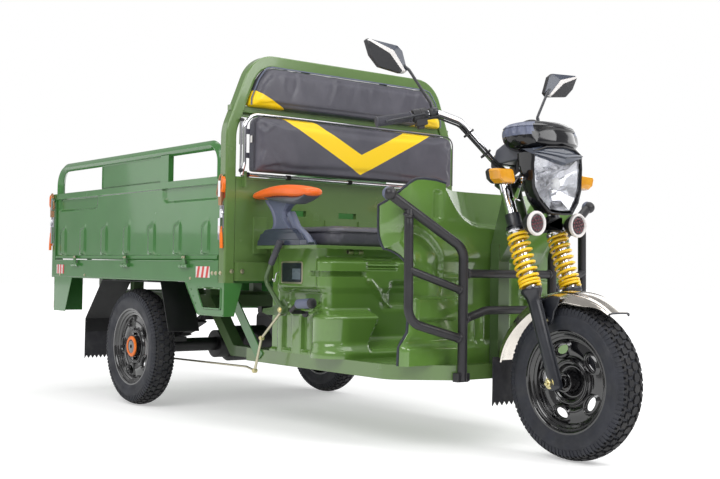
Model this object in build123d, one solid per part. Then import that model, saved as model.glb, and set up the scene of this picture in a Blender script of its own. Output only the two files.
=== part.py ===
"""Electric cargo tricycle: three wheels, open load bed with folding sides, front fork steering.

Millimetres, +X forward, +Y to the rider's left, +Z up.  The pieces are drawn with X = 0 at the
rear axle and are moved at the end, so that the origin lies under the middle of the vehicle.
"""
from build123d import *
import math
import os

# ---------------------------------------------------------------- driving dimensions
WHEELBASE = 2010
TRACK = 1006
SEAT_GAP = 0.3            # gap between curved or moving faces that belong together
SWING_GAP = 5             # gap between pieces that swing past each other
SHEET = 3                 # sheet steel of the bed, floor and mudguards

# wheels
TYRE_RADIUS = 250
TYRE_HALF_WIDTH = 51
TREAD_DROP = 16           # from the tread's middle to its shoulder
RIM_RADIUS = 154
RIM_FLANGE_RADIUS = 170
RIM_HALF_WIDTH = 44
RIM_STEEL = 4
RIM_HOLES = 5
HUB_RADIUS = 62
REAR_HUB_DEPTH = 40
REAR_HUB_FACE = 34
HUB_CAP_FACE = 62
SPINDLE_RADIUS = 14
FRONT_AXLE_RADIUS = 9
AXLE_TUBE_RADIUS = 30
BRAKE_PLATE_RADIUS = 94
BRAKE_PLATE = 8
WHEEL_SIDE_GAP = 4        # tyre side to brake plate

# load bed
BED_REAR = -800
BED_HALF_WIDTH = 576
ARCH_GAP = 30             # tyre top to mudguard
RAIL_HEIGHT = 84
SIDE_HEIGHT = 318
SIDE_THICKNESS = 30
SIDE_REAR = -760
WALL_REAR = 790
WALL_THICKNESS = 20
POST_WIDTH = 40
SKIRT_DEPTH = 160
BRACKET_DEPTH = 126
BED_BEAM_X = (-500, -200, 100, 520, 735)
BED_BEAM_WIDTH = 40
STRUT_X = 510
RIB_X = (-720, -499, -272, -50, 184, 401, 625)
RIB_WIDTH = 62
RIB_HEIGHT = 112
GUARD_HEIGHT = 138
GUARD_TUBE = 30
SIGN_REAR = -283
SIGN_FRONT = 290
SIGN_POST = 69

# folding sides
HINGE_X = (-511, 8, 522)
TAILGATE_HINGE_Y = (-380, 0, 380)
HINGE_DROP = 22           # hinge line below the floor
HINGE_STANDOFF = 9
PIN_RADIUS = 4
KNUCKLE_RADIUS = 8
PIN_HALF = 33
LEAF_HALF = 12

# hoop
HOOP_TUBE = 45
HOOP_X = 790.5
HOOP_RISE = 474           # hoop top over the side panels
SHOULDER_RISE = 176
CROSS_RAIL_RISE = 250
CROSS_RAIL_HEIGHT = 20
HOOP_CORNER_Y = 446

# frame and floor
RAIL_Y = 330
RAIL_WIDTH = 50
FRAME_LOW = 240
KICK_RISE = 180           # axle to the raised part of the rails
RAIL_DEPTH = 50
FLOOR_TOP = 285
FLOOR_HALF_WIDTH = 400
FLOOR_REAR = 700
COLUMN_TOP = 690
COLUMN_DEPTH = 40

# steering
RAKE = 20
AXLE_LEAD = 48            # front axle ahead of the steering axis, at axle height
HEAD_LENGTH = 122
HEAD_RADIUS = 26
STEERER_RADIUS = 12
CROWN_CLEARANCE = 218     # fender to the lower crown, along the steering axis
CROWN_PLATES = (28, 24)   # thickness of the lower and the upper crown
CROWN_GAP = 4             # crowns to the head tube
CROWN_WIDTH = 62
CROWN_FRONT = 75
LEG_OFFSET = 52           # fork legs ahead of the steering axis
LEG_Y = 96
LEG_LOW = -42
STANCHION_RADIUS = 20
LOWER_LEG_RADIUS = 21.5
SPRING_RADIUS = 37
SPRING_LENGTH = 192
SPRING_DROP = 22          # spring's top under the lower crown
FENDER_GAP = 38           # tyre to the fender's crown
FENDER_HALF_WIDTH = 62
FENDER_TO_FLOOR = 20
BAR_RADIUS = 11
BAR_HEIGHT = 240          # bar's middle over the lower crown
BAR_BACK = 86             # bar's middle behind the steering axis at the lower crown

# crash guard
GUARD_RADIUS = 16
GUARD_UPRIGHT_Y = 214
GUARD_LOOP_Y = 418
GUARD_END_Y = 480

# seats
SEAT_HEIGHT = 383         # floor to the seat board
SEAT_BOARD = 12
SEAT_DEPTH = 387
SEAT_HINGE_Y = (-260, 260)
TOE_BULGE = 125
BASE_WALL = 4
BENCH_TUBE = 7
BENCH_HEIGHT = 228
BENCH_CORNER = 60
LEVER_REACH = 70          # levers stand this far off the seat base

# ---------------------------------------------------------------- places that follow from them
STEER_X = WHEELBASE - AXLE_LEAD
REAR_WHEEL_Y = TRACK / 2
BRAKE_PLATE_Y = REAR_WHEEL_Y - TYRE_HALF_WIDTH - WHEEL_SIDE_GAP
FENDER_RADIUS = TYRE_RADIUS + FENDER_GAP
FRONT_HUB_HALF = LEG_Y - LOWER_LEG_RADIUS - 14.5
CROWN_LOW = (FENDER_RADIUS + CROWN_CLEARANCE, FENDER_RADIUS + CROWN_CLEARANCE + CROWN_PLATES[0])
HEAD_LOW = CROWN_LOW[1] + CROWN_GAP
HEAD_HIGH = HEAD_LOW + HEAD_LENGTH
CROWN_HIGH = (HEAD_HIGH + CROWN_GAP, HEAD_HIGH + CROWN_GAP + CROWN_PLATES[1])
SPRING_HIGH = CROWN_LOW[0] - SPRING_DROP
SPRING_LOW = SPRING_HIGH - SPRING_LENGTH

ARCH_Z = 2 * TYRE_RADIUS + ARCH_GAP
RAIL_BOTTOM = ARCH_Z + 8
RAIL_TOP = RAIL_BOTTOM + RAIL_HEIGHT
SIDE_TOP = RAIL_TOP + SIDE_HEIGHT
SIDE_FRONT = WALL_REAR - 45
SIDE_INNER = BED_HALF_WIDTH - SIDE_THICKNESS
PANEL_BOTTOM = RAIL_TOP + SWING_GAP + 1
GUARD_TOP = SIDE_TOP + GUARD_HEIGHT
HINGE_Z = RAIL_TOP - HINGE_DROP
POST_INNER = BED_HALF_WIDTH - POST_WIDTH
KICK_Z = (TYRE_RADIUS + KICK_RISE, TYRE_RADIUS + KICK_RISE + RAIL_DEPTH)

HOOP_TOP = SIDE_TOP + HOOP_RISE
HOOP_SHOULDER_Z = SIDE_TOP + SHOULDER_RISE
HOOP_SIDE_Y = BED_HALF_WIDTH - HOOP_TUBE / 2
HOOP_INNER = BED_HALF_WIDTH - HOOP_TUBE
CROSS_RAIL_Z = (SIDE_TOP + CROSS_RAIL_RISE, SIDE_TOP + CROSS_RAIL_RISE + CROSS_RAIL_HEIGHT)

FLOOR_FRONT = WHEELBASE - FENDER_RADIUS - FENDER_TO_FLOOR
COLUMN_X = (FLOOR_FRONT - 7 - COLUMN_DEPTH, FLOOR_FRONT - 7)
FLOOR_CORNER_X = FLOOR_FRONT - 137
FLOOR_NOSE_Y = 210
RAIL_FRONT = COLUMN_X[0] - 95
SHIELD_X = FLOOR_FRONT - 50
GUARD_X = FLOOR_FRONT + GUARD_RADIUS + 2

SEAT_REAR = WALL_REAR + 48
SEAT_FRONT = SEAT_REAR + SEAT_DEPTH
SEAT_BOARD_Z = (FLOOR_TOP + SEAT_HEIGHT, FLOOR_TOP + SEAT_HEIGHT + SEAT_BOARD)
SEAT_HINGE_X = SEAT_FRONT - 25
SEAT_HINGE_Z = SEAT_BOARD_Z[0] - 10
BASE_REAR = SEAT_REAR + 22
BASE_FRONT = SEAT_HINGE_X - 10
TOE_FRONT = SEAT_FRONT + TOE_BULGE
BENCH_PIVOT_X = WALL_REAR + 30
BENCH_PIVOT_Z = SIDE_TOP + 8
BENCH_HALF = HOOP_INNER - BENCH_TUBE - 12
LEVER_Y = FLOOR_HALF_WIDTH + LEVER_REACH

FRONT_END = WHEELBASE + TYRE_RADIUS
LAMP_REAR = BED_REAR - 35
MIDDLE_X = (FRONT_END + LAMP_REAR) / 2


# ---------------------------------------------------------------- helpers
def block(x, y, z):
    """Box between the low and high values of each axis."""
    size = [high - low for low, high in (x, y, z)]
    middle = [(high + low) / 2 for low, high in (x, y, z)]
    return Pos(*middle) * Box(*size)


def mirrored(shape):
    """The same shape on the other side of the vehicle."""
    return mirror(shape, about=Plane.XZ)


def pair(shape):
    """A shape and its mirror image."""
    return shape + mirrored(shape)


def disc(radius, start, axis, length):
    """Round bar of a radius, from a point along an axis."""
    circle = Plane(origin=start, z_dir=axis) * Circle(radius)
    return extrude(circle, amount=length)


def rod(points, radius, bends=None):
    """Round bar along straight runs, joined by tangent arcs of the given radii."""
    path = Line(*points) if bends is None else FilletPolyline(*points, radius=bends)
    section = Plane(origin=path @ 0, z_dir=path % 0) * Circle(radius)
    return sweep(section, path=path)


def side_prism(points, y):
    """Outline given as (x, z) corners, between two values of Y."""
    outline = Polyline(*[(px, y[0], pz) for px, pz in points], close=True)
    return extrude(make_face(outline), amount=y[1] - y[0], dir=(0, 1, 0))


def front_prism(points, x):
    """Outline given as (y, z) corners, between two values of X."""
    outline = Polyline(*[(x[0], py, pz) for py, pz in points], close=True)
    return extrude(make_face(outline), amount=x[1] - x[0], dir=(1, 0, 0))


def plan_prism(points, z):
    """Outline given as (x, y) corners, between two values of Z."""
    outline = Polyline(*[(px, py, z[0]) for px, py in points], close=True)
    return extrude(make_face(outline), amount=z[1] - z[0], dir=(0, 0, 1))


def strip(points, thickness):
    """Corners of a bent sheet, thickened to the left of its run of corners."""
    normals = []
    for start, end in zip(points, points[1:]):
        length = math.dist(start, end)
        normals.append(((start[1] - end[1]) / length, (end[0] - start[0]) / length))
    shifted = []
    for i, point in enumerate(points):
        before = normals[max(i - 1, 0)]
        after = normals[min(i, len(normals) - 1)]
        scale = thickness / (1 + before[0] * after[0] + before[1] * after[1])
        shifted.append((point[0] + (before[0] + after[0]) * scale,
                        point[1] + (before[1] + after[1]) * scale))
    return list(points) + shifted[::-1]


def spun(points, centre, angle=360, start=0):
    """(radius, y) corners turned about a line along Y through centre."""
    axis = Axis((centre[0], 0, centre[1]), (0, 1, 0))
    corners = [(centre[0] + r, y, centre[1]) for r, y in points]
    face = make_face(Polyline(*corners, close=True)).rotate(axis, -start)
    return revolve(face, axis=axis, revolution_arc=-angle)


# ---------------------------------------------------------------- wheels
def tyre(centre_x, centre_y):
    """Tyre section turned about the wheel's axis, bead to bead."""
    shoulder = TYRE_HALF_WIDTH - 6
    tread = TYRE_RADIUS - TREAD_DROP
    axis = Axis((centre_x, 0, TYRE_RADIUS), (0, 1, 0))
    bead = RIM_HALF_WIDTH - SEAT_GAP
    z = TYRE_RADIUS

    def at(radius, y):
        return (centre_x + radius, centre_y + y, z)

    widest = (RIM_FLANGE_RADIUS + tread) / 2
    edges = [Line(at(RIM_RADIUS, bead), at(RIM_RADIUS, -bead)),
             Line(at(RIM_RADIUS, -bead), at(RIM_FLANGE_RADIUS, -bead)),
             ThreePointArc(at(RIM_FLANGE_RADIUS, -bead), at(widest, -TYRE_HALF_WIDTH),
                           at(tread, -shoulder)),
             ThreePointArc(at(tread, -shoulder), at(TYRE_RADIUS, 0), at(tread, shoulder)),
             ThreePointArc(at(tread, shoulder), at(widest, TYRE_HALF_WIDTH),
                           at(RIM_FLANGE_RADIUS, bead)),
             Line(at(RIM_FLANGE_RADIUS, bead), at(RIM_RADIUS, bead))]
    return revolve(make_face(edges), axis=axis)


def rim(centre_x, centre_y, outward, bore, hub_in, hub_out, cap):
    """Pressed steel rim: barrel, stepped disc with five oval holes, hub and cap."""
    steel = RIM_STEEL
    half = RIM_HALF_WIDTH
    well = RIM_RADIUS - 14
    barrel = [(RIM_RADIUS, half), (RIM_FLANGE_RADIUS, half), (RIM_FLANGE_RADIUS, half + steel),
              (RIM_RADIUS - steel, half + steel), (well, half - 16), (well, 16 - half),
              (RIM_RADIUS - steel, -half - steel), (RIM_FLANGE_RADIUS, -half - steel),
              (RIM_FLANGE_RADIUS, -half), (RIM_RADIUS, -half)]
    ring = spun([(r, centre_y + y) for r, y in barrel], (centre_x, TYRE_RADIUS))
    hole_circle = (HUB_RADIUS + well - 2) / 2
    step = hole_circle + 18
    plate = [(bore, 2), (HUB_RADIUS + 4, 2), (HUB_RADIUS + 18, 12), (step, 20), (step + 12, 8),
             (well + 2, 2), (well + 2, 2 + steel), (step + 14, 8 + steel), (step, 20 + steel),
             (HUB_RADIUS + 16, 12 + steel), (HUB_RADIUS, 8), (bore, 8)]
    face = [(r, centre_y + outward * y) for r, y in plate]
    dish = spun(face, (centre_x, TYRE_RADIUS))
    for i in range(RIM_HOLES):
        angle = math.radians(360 / RIM_HOLES * i + 18)
        middle = (centre_x + hole_circle * math.cos(angle), centre_y,
                  TYRE_RADIUS + hole_circle * math.sin(angle))
        slot = Plane(origin=middle, x_dir=(-math.sin(angle), 0, math.cos(angle)),
                     z_dir=(0, 1, 0)) * SlotOverall(58, 34)
        dish -= extrude(slot, amount=40, both=True)
    hub = [(bore, -hub_in), (HUB_RADIUS, -hub_in), (HUB_RADIUS, 4), (HUB_RADIUS - 18, 6),
           (HUB_RADIUS - 22, hub_out), (bore, hub_out)]
    core = spun([(r, centre_y + outward * y) for r, y in hub], (centre_x, TYRE_RADIUS))
    wheel = ring + dish + core
    if cap:
        end = (centre_x, centre_y + outward * hub_out, TYRE_RADIUS)
        boss = disc(HUB_RADIUS - 24, end, (0, outward, 0), cap - hub_out)
        wheel += chamfer(boss.edges().filter_by(GeomType.CIRCLE).sort_by(Axis.Y)[-1 if outward > 0 else 0], 6)
    return wheel


# ---------------------------------------------------------------- chassis
def main_frame():
    """Two rails that kick up over the rear axle, cross members, column and head tube."""
    low, high = FRAME_LOW, FLOOR_TOP - SHEET
    up_low, up_high = KICK_Z
    rear, ramp, flat = -740, 320, 510
    inner = RAIL_Y - RAIL_WIDTH / 2
    rail = side_prism([(RAIL_FRONT, low), (RAIL_FRONT, high), (flat + 20, high), (ramp + 20, up_high),
                       (rear, up_high), (rear, up_low), (ramp, up_low), (flat, low)],
                      (inner, inner + RAIL_WIDTH))
    frame = pair(rail)
    member = 40
    for x in (FLOOR_REAR + 60, BASE_FRONT - 10, RAIL_FRONT - member):
        frame += block((x, x + member), (-inner, inner), (low, high))
    frame += block((RAIL_FRONT, COLUMN_X[1]), (-60, 60), (low, high))
    frame += block(COLUMN_X, (-190, 190), (low, high))
    for x in (rear, -360, ramp - member):
        frame += block((x, x + member), (-inner, inner), KICK_Z)
    for x in (rear, -400, 160, 300):
        riser = block((x, x + member), (inner, inner + RAIL_WIDTH), (up_high, RAIL_BOTTOM))
        frame += pair(riser)
    frame += block(COLUMN_X, (-25, 25), (high, COLUMN_TOP))
    return frame + head_tube()


def head_tube():
    """Tube on the steering axis and the gusset that ties it to the column."""
    length = HEAD_HIGH - HEAD_LOW
    reach = 9
    tube = Pos(0, 0, HEAD_LOW) * extrude(Circle(HEAD_RADIUS), amount=length)
    bore = Circle(STEERER_RADIUS + SEAT_GAP)
    bore = Pos(0, 0, HEAD_LOW - reach) * extrude(bore, amount=length + 2 * reach)
    along = [(-44, CROWN_LOW[0] - 6), (-44, HEAD_LOW + 7), (-15, HEAD_LOW + 7),
             (-15, HEAD_HIGH - 6), (-34, HEAD_HIGH - 6)]
    corners = [(steering_axis() * Pos(x, 0, z)).position for x, z in along]
    gusset = side_prism([(COLUMN_X[0], COLUMN_TOP - 60), (COLUMN_X[1], COLUMN_TOP - 60)]
                        + [(corner.X, corner.Z) for corner in corners]
                        + [(COLUMN_X[0], COLUMN_TOP)], (-22, 22))
    return gusset + steering_axis() * tube - steering_axis() * bore


def tray_plan(inset, rear):
    """Floor outline with cut front corners, drawn in from the skirt by an inset."""
    half = FLOOR_HALF_WIDTH - inset
    nose = FLOOR_FRONT - inset
    return [(rear, -half), (FLOOR_CORNER_X, -half), (nose, -FLOOR_NOSE_Y), (nose, FLOOR_NOSE_Y),
            (FLOOR_CORNER_X, half), (rear, half)]


def rounded_tray(plan, z, radius):
    """Tray block whose two wide front corners are rounded."""
    tray = plan_prism(plan, z)
    upright = tray.edges().filter_by(Axis.Z).sort_by(Axis.X)
    return fillet(upright[2:4], radius)


def footboard():
    """Folded tray: flat tread plate with a skirt all round, open at the rear."""
    low = FRAME_LOW - 4
    tray = rounded_tray(tray_plan(0, FLOOR_REAR), (low, FLOOR_TOP), 90)
    tray -= rounded_tray(tray_plan(SHEET, FLOOR_REAR - 1), (low - 1, FLOOR_TOP - SHEET), 90)
    return tray - block(COLUMN_X, (-25, 25), (FLOOR_TOP - SHEET, FLOOR_TOP))


def shield_plan(wall):
    """Half of the shield's line in plan, from the middle out, set back by a wall."""
    x = SHIELD_X - wall
    return [(x - 20, 196 + wall / 2.5), (x, 222 + wall / 2.5), (x, 360 - wall / 5),
            (x - 30 + wall / 2.5, 432 - wall / 1.25), (SHIELD_X - 100, 442 - wall)]


def leg_shield():
    """Front shield: raised middle, two wings curling back, narrow waist, flared foot."""
    wall = 5
    radii = [10, 10, 45, 30]
    lines = []
    for inset, grow in ((0, 0), (wall, 0)):
        half = shield_plan(inset)
        points = [(x, -y) for x, y in half[::-1]] + half
        lines.append(FilletPolyline(*points, radius=radii[:0:-1] + radii[:1] * 2 + radii[1:]))
    plan, inner = lines
    ends = [Line(plan @ 0, inner @ 0), Line(plan @ 1, inner @ 1)]
    wall_plan = make_face(plan.edges() + inner.edges() + ends)
    low = FLOOR_TOP
    curtain = extrude(Pos(0, 0, low) * wall_plan, amount=620)
    half = [(0, low), (398, low), (400, low + 45), (378, low + 95), (352, low + 155),
            (350, low + 262), (400, low + 415), (443, low + 485), (443, low + 527),
            (400, low + 583), (360, low + 608), (240, low + 608), (212, low + 582), (0, low + 582)]
    outline = half + [(-y, z) for y, z in half[-2:0:-1]]
    return curtain & front_prism(outline, (SHIELD_X - 152, SHIELD_X + 48))


def crash_guard():
    """Bent tube guard: two sides, each with an outer loop, and two ties across."""
    y = GUARD_UPRIGHT_Y
    foot_z = FRAME_LOW - 4
    outer_x = GUARD_X - 65
    loop_x = GUARD_X - 36
    end_z = FLOOR_TOP + 554
    top = rod([(outer_x, GUARD_END_Y, end_z), (GUARD_X, y, end_z - 171), (GUARD_X, y, foot_z)],
              GUARD_RADIUS, [60])
    ball = Pos(outer_x, GUARD_END_Y, end_z) * Sphere(GUARD_RADIUS + 3)
    loop = rod([(loop_x - 12, GUARD_LOOP_Y - 7, end_z - 44), (loop_x - 4, GUARD_LOOP_Y, end_z - 99),
                (loop_x, GUARD_LOOP_Y, FLOOR_TOP + 145), (GUARD_X, y, FLOOR_TOP + 87)],
               GUARD_RADIUS - 1, [60, 60])
    middle = rod([(loop_x + 1, GUARD_LOOP_Y, FLOOR_TOP + 312), (GUARD_X, y, FLOOR_TOP + 245)],
                 GUARD_RADIUS - 3)
    foot = block((FLOOR_FRONT, GUARD_X + 10), (y - 25, y + 25), (foot_z, foot_z + 26))
    guard = pair(top + ball + loop + middle + foot)
    high_tie = FLOOR_TOP + 303
    low_tie = FLOOR_TOP + 151
    guard += rod([(GUARD_X, -y, high_tie), (GUARD_X, y, high_tie)], GUARD_RADIUS - 2)
    guard += rod([(GUARD_X, -y, low_tie), (GUARD_X, -110, low_tie + 30), (GUARD_X, 110, low_tie + 30),
                  (GUARD_X, y, low_tie)], GUARD_RADIUS - 2, [80, 80])
    return guard


def base_side(wall):
    """Side outline of the seat base, drawn in by a wall; open at the floor and at the top."""
    floor = FLOOR_TOP - (1 if wall else 0)
    top = SEAT_BOARD_Z[0] + (1 if wall else 0)
    toe = FLOOR_TOP + 55
    return [(BASE_REAR + wall, floor), (TOE_FRONT - wall, floor), (TOE_FRONT - wall, toe - wall / 2),
            (TOE_FRONT - 30 - wall * 0.75, toe + 45 - wall), (BASE_FRONT + 40 - wall * 0.75, toe + 60 - wall),
            (BASE_FRONT + 10 - wall, toe + 90 - wall / 2), (BASE_FRONT - wall, top),
            (BASE_REAR + wall, top)]


def seat_base():
    """Moulded box under the seat, open at the top, with a toe bulge and recessed sides."""
    half = FLOOR_HALF_WIDTH
    shell = side_prism(base_side(0), (-half, half))
    shell -= side_prism(base_side(BASE_WALL), (-half + BASE_WALL, half - BASE_WALL))
    panel_rear = BASE_REAR + 45
    panel_low = FLOOR_TOP + 125
    panel_high = SEAT_BOARD_Z[0] - 48
    recess = side_prism([(panel_rear, panel_low), (BASE_FRONT - 60, panel_low),
                         (BASE_FRONT - 25, panel_low + 40), (BASE_FRONT - 40, panel_high),
                         (panel_rear, panel_high)], (half - BASE_WALL / 2, half + 2))
    shell -= pair(recess)
    for y in SEAT_HINGE_Y:
        shell += fixed_seat_hinge(y)
    return shell


def fixed_seat_hinge(y):
    """Pin and two end knuckles of the seat's front hinge, on brackets from the base."""
    pin = disc(PIN_RADIUS, (SEAT_HINGE_X, y - PIN_HALF, SEAT_HINGE_Z), (0, 1, 0), 2 * PIN_HALF)
    for start in (y - PIN_HALF, y + PIN_HALF - 20):
        pin += disc(KNUCKLE_RADIUS, (SEAT_HINGE_X, start, SEAT_HINGE_Z), (0, 1, 0), 20)
        pin += block((BASE_FRONT - 4, SEAT_HINGE_X), (start, start + 20),
                     (SEAT_HINGE_Z - 5, SEAT_HINGE_Z + 5))
    return pin


def battery_block():
    """Battery pack standing on the floor inside the seat base."""
    return block((BASE_REAR + 20, BASE_FRONT - 20), (-300, 300), (FLOOR_TOP, FLOOR_TOP + 235))


def rear_axle():
    """Axle tube, drive housing, brake plates and the wheel spindles."""
    z = TYRE_RADIUS
    axle = disc(AXLE_TUBE_RADIUS, (0, -BRAKE_PLATE_Y, z), (0, 1, 0), 2 * BRAKE_PLATE_Y)
    axle += disc(80, (0, -60, z), (0, 1, 0), 190)
    axle += disc(62, (0, -130, z), (0, 1, 0), 70)
    axle += disc(46, (70, -30, z + 10), (1, 0, 0), 90)
    plate = disc(BRAKE_PLATE_RADIUS, (0, BRAKE_PLATE_Y - BRAKE_PLATE, z), (0, 1, 0), BRAKE_PLATE)
    spindle_end = REAR_WHEEL_Y + REAR_HUB_FACE - 4
    spindle = disc(SPINDLE_RADIUS, (0, BRAKE_PLATE_Y - 1, z), (0, 1, 0),
                   spindle_end - BRAKE_PLATE_Y + 1)
    return axle + pair(plate + spindle)


def leaf_springs():
    """Leaf packs under the rails, clamped to the axle tube."""
    pack = None
    leaf_thick = 7
    half = RAIL_WIDTH / 2
    longest = 300
    seat = TYRE_RADIUS + AXLE_TUBE_RADIUS + 8
    for i, reach in enumerate((100, 165, 230, longest)):
        base = seat + leaf_thick * i
        rise = 100 * (reach / longest) ** 2
        run = [(-reach, base + rise), (-reach / 2, base + rise / 4), (0, base),
               (reach / 2, base + rise / 4), (reach, base + rise)]
        leaf = side_prism(strip(run, leaf_thick), (RAIL_Y - half, RAIL_Y + half))
        pack = leaf if pack is None else pack + leaf
    top = seat + 4 * leaf_thick
    across = (RAIL_Y - half - 7, RAIL_Y + half + 7)
    clamp = block((-45, 45), across, (seat - 20, seat + 1))
    clamp += block((-40, 40), across, (top - 5, top + 8))
    bore = (0, RAIL_Y - half - 10, TYRE_RADIUS)
    clamp -= disc(AXLE_TUBE_RADIUS + SEAT_GAP, bore, (0, 1, 0), RAIL_WIDTH + 20)
    hanger = (longest - 28, longest + 8)
    hangers = block(hanger, (RAIL_Y - half - 5, RAIL_Y + half + 5), (top + 60, KICK_Z[0]))
    hangers += mirror(hangers, about=Plane.YZ)
    return pair(pack + clamp + hangers)


def rear_mudguards():
    """Bent sheets over the rear wheels, stayed under the bed's cross members."""
    across = mudguard_width()
    front = TYRE_RADIUS + 80
    rear = -TYRE_RADIUS - 220
    run = [(front, front), (front - 75, ARCH_Z), (rear + 170, ARCH_Z),
           (rear, TYRE_RADIUS + 100), (rear, TYRE_RADIUS + 40)]
    sheet = side_prism(strip(run, -SHEET), across)
    for x in BED_BEAM_X[1:3]:
        sheet += block((x, x + BED_BEAM_WIDTH), across, (ARCH_Z, RAIL_BOTTOM))
    return pair(sheet)


def mudguard_width():
    """Inner and outer edge of a rear mudguard."""
    return REAR_WHEEL_Y - TYRE_HALF_WIDTH - 52, SIDE_INNER - 2


def rear_mudflaps():
    """Rubber flaps with a toothed lower edge, behind the mudguards' rear ends."""
    inner, outer = mudguard_width()
    face = -TYRE_RADIUS - 220 - SHEET
    flap = flap_outline(inner + 2, outer - 1, TYRE_RADIUS + 95, 165)
    return pair(front_prism(flap, (face - 5, face)))


def flap_outline(y_low, y_high, top, bottom):
    """Rectangle in (y, z) whose lower edge is cut into teeth."""
    teeth = 5
    depth = 16
    pitch = (y_high - y_low) / teeth
    points = [(y_high, top), (y_low, top)]
    for i in range(teeth):
        points.append((y_low + i * pitch, bottom + depth))
        points.append((y_low + (i + 0.5) * pitch, bottom))
    points.append((y_high, bottom + depth))
    return points


def load_bed():
    """Floor sheet, side rails, end beams, cross members, rear posts, skirts, front brackets."""
    outer = BED_HALF_WIDTH
    leg_rear = HOOP_X - HOOP_TUBE / 2
    side = block((SIDE_REAR, leg_rear), (SIDE_INNER, outer), (RAIL_BOTTOM, RAIL_TOP))
    side += block((BED_REAR, SIDE_REAR - SWING_GAP), (POST_INNER, outer), (RAIL_BOTTOM, SIDE_TOP))
    side += block((BED_REAR, SIDE_REAR), (POST_INNER, outer), (RAIL_BOTTOM, RAIL_TOP))
    side += rear_skirt() + front_bracket()
    for x in HINGE_X:
        side += fixed_side_hinge(x)
    bed = pair(side)
    bed += block((BED_REAR + 5, SIDE_REAR), (-POST_INNER, POST_INNER), (RAIL_BOTTOM, RAIL_TOP))
    bed += block((SIDE_REAR, WALL_REAR), (-SIDE_INNER, SIDE_INNER), (RAIL_TOP - SHEET, RAIL_TOP))
    for x in BED_BEAM_X:
        bed += block((x, x + BED_BEAM_WIDTH), (-SIDE_INNER, SIDE_INNER), (RAIL_BOTTOM, RAIL_TOP - SHEET))
    bed += pair(front_strut())
    for y in TAILGATE_HINGE_Y:
        bed += fixed_tail_hinge(y)
    leg = block((leg_rear, WALL_REAR + 1), (HOOP_INNER, outer), (RAIL_BOTTOM, RAIL_TOP + 1))
    return bed - pair(leg)


def rear_skirt():
    """Plate under the rear end of the left rail and its return across."""
    outer = BED_HALF_WIDTH
    low = RAIL_BOTTOM - SKIRT_DEPTH
    rear = SIDE_REAR - 8
    skirt = side_prism([(rear + 131, low), (rear + 204, RAIL_BOTTOM), (SIDE_REAR, RAIL_BOTTOM),
                        (rear, low)], (outer - SHEET, outer))
    return skirt + block((rear, rear + SHEET), (outer - 146, outer), (low, RAIL_BOTTOM))


def front_strut():
    """Flat strut from the bed's cross member down along the floor tray's side."""
    foot_x = FLOOR_REAR + 95
    foot_z = FRAME_LOW + 8
    strut = [(STRUT_X, RAIL_BOTTOM), (STRUT_X + 62, RAIL_BOTTOM), (foot_x + 25, foot_z + 22),
             (foot_x, foot_z), (foot_x - 17, foot_z)]
    return side_prism(strut, (FLOOR_HALF_WIDTH, FLOOR_HALF_WIDTH + 2 * SHEET))


def front_bracket():
    """Bracket with a window under the front corner of the bed, and its return across."""
    outer = BED_HALF_WIDTH
    front = HOOP_X + HOOP_TUBE / 2
    low = RAIL_BOTTOM - BRACKET_DEPTH
    rear = front - 188
    bracket = side_prism([(rear - 109, RAIL_BOTTOM), (front, RAIL_BOTTOM), (front, low), (rear, low)],
                         (outer - SHEET, outer))
    window = [(rear - 13, RAIL_BOTTOM - 18), (front - 18, RAIL_BOTTOM - 18),
              (front - 18, low + 24), (rear + 37, low + 24)]
    bracket -= side_prism(window, (outer - SHEET - 1, outer + 1))
    bracket += block((rear, front), (outer - 40, outer), (low, low + SHEET))
    across = [(outer, RAIL_BOTTOM), (outer - 81, RAIL_BOTTOM), (outer - 46, low), (outer, low)]
    return bracket + front_prism(across, (front - SHEET, front))


def fixed_side_hinge(x):
    """Two end knuckles and the pin, standing off the side rail."""
    y = BED_HALF_WIDTH + HINGE_STANDOFF
    hinge = disc(PIN_RADIUS, (x - PIN_HALF, y, HINGE_Z), (1, 0, 0), 2 * PIN_HALF)
    for start in (x - PIN_HALF, x + PIN_HALF - 20):
        hinge += disc(KNUCKLE_RADIUS, (start, y, HINGE_Z), (1, 0, 0), 20)
        hinge += block((start, start + 20), (BED_HALF_WIDTH - 1, y), (HINGE_Z - 6, HINGE_Z + 6))
    return hinge


def fixed_tail_hinge(y):
    """Two end knuckles and the pin behind the rear beam."""
    x = tail_hinge_x()
    hinge = disc(PIN_RADIUS, (x, y - PIN_HALF, HINGE_Z), (0, 1, 0), 2 * PIN_HALF)
    for start in (y - PIN_HALF, y + PIN_HALF - 20):
        hinge += disc(KNUCKLE_RADIUS, (x, start, HINGE_Z), (0, 1, 0), 20)
        hinge += block((x, BED_REAR + 6), (start, start + 20), (HINGE_Z - 6, HINGE_Z + 6))
    return hinge


def tail_hinge_x():
    """Hinge line of the tailgate, behind the rear beam."""
    return BED_REAR + 5 - HINGE_STANDOFF


def rib_top():
    """Height at which the pressed ribs begin to taper."""
    return RAIL_TOP + 28 + RIB_HEIGHT


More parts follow.
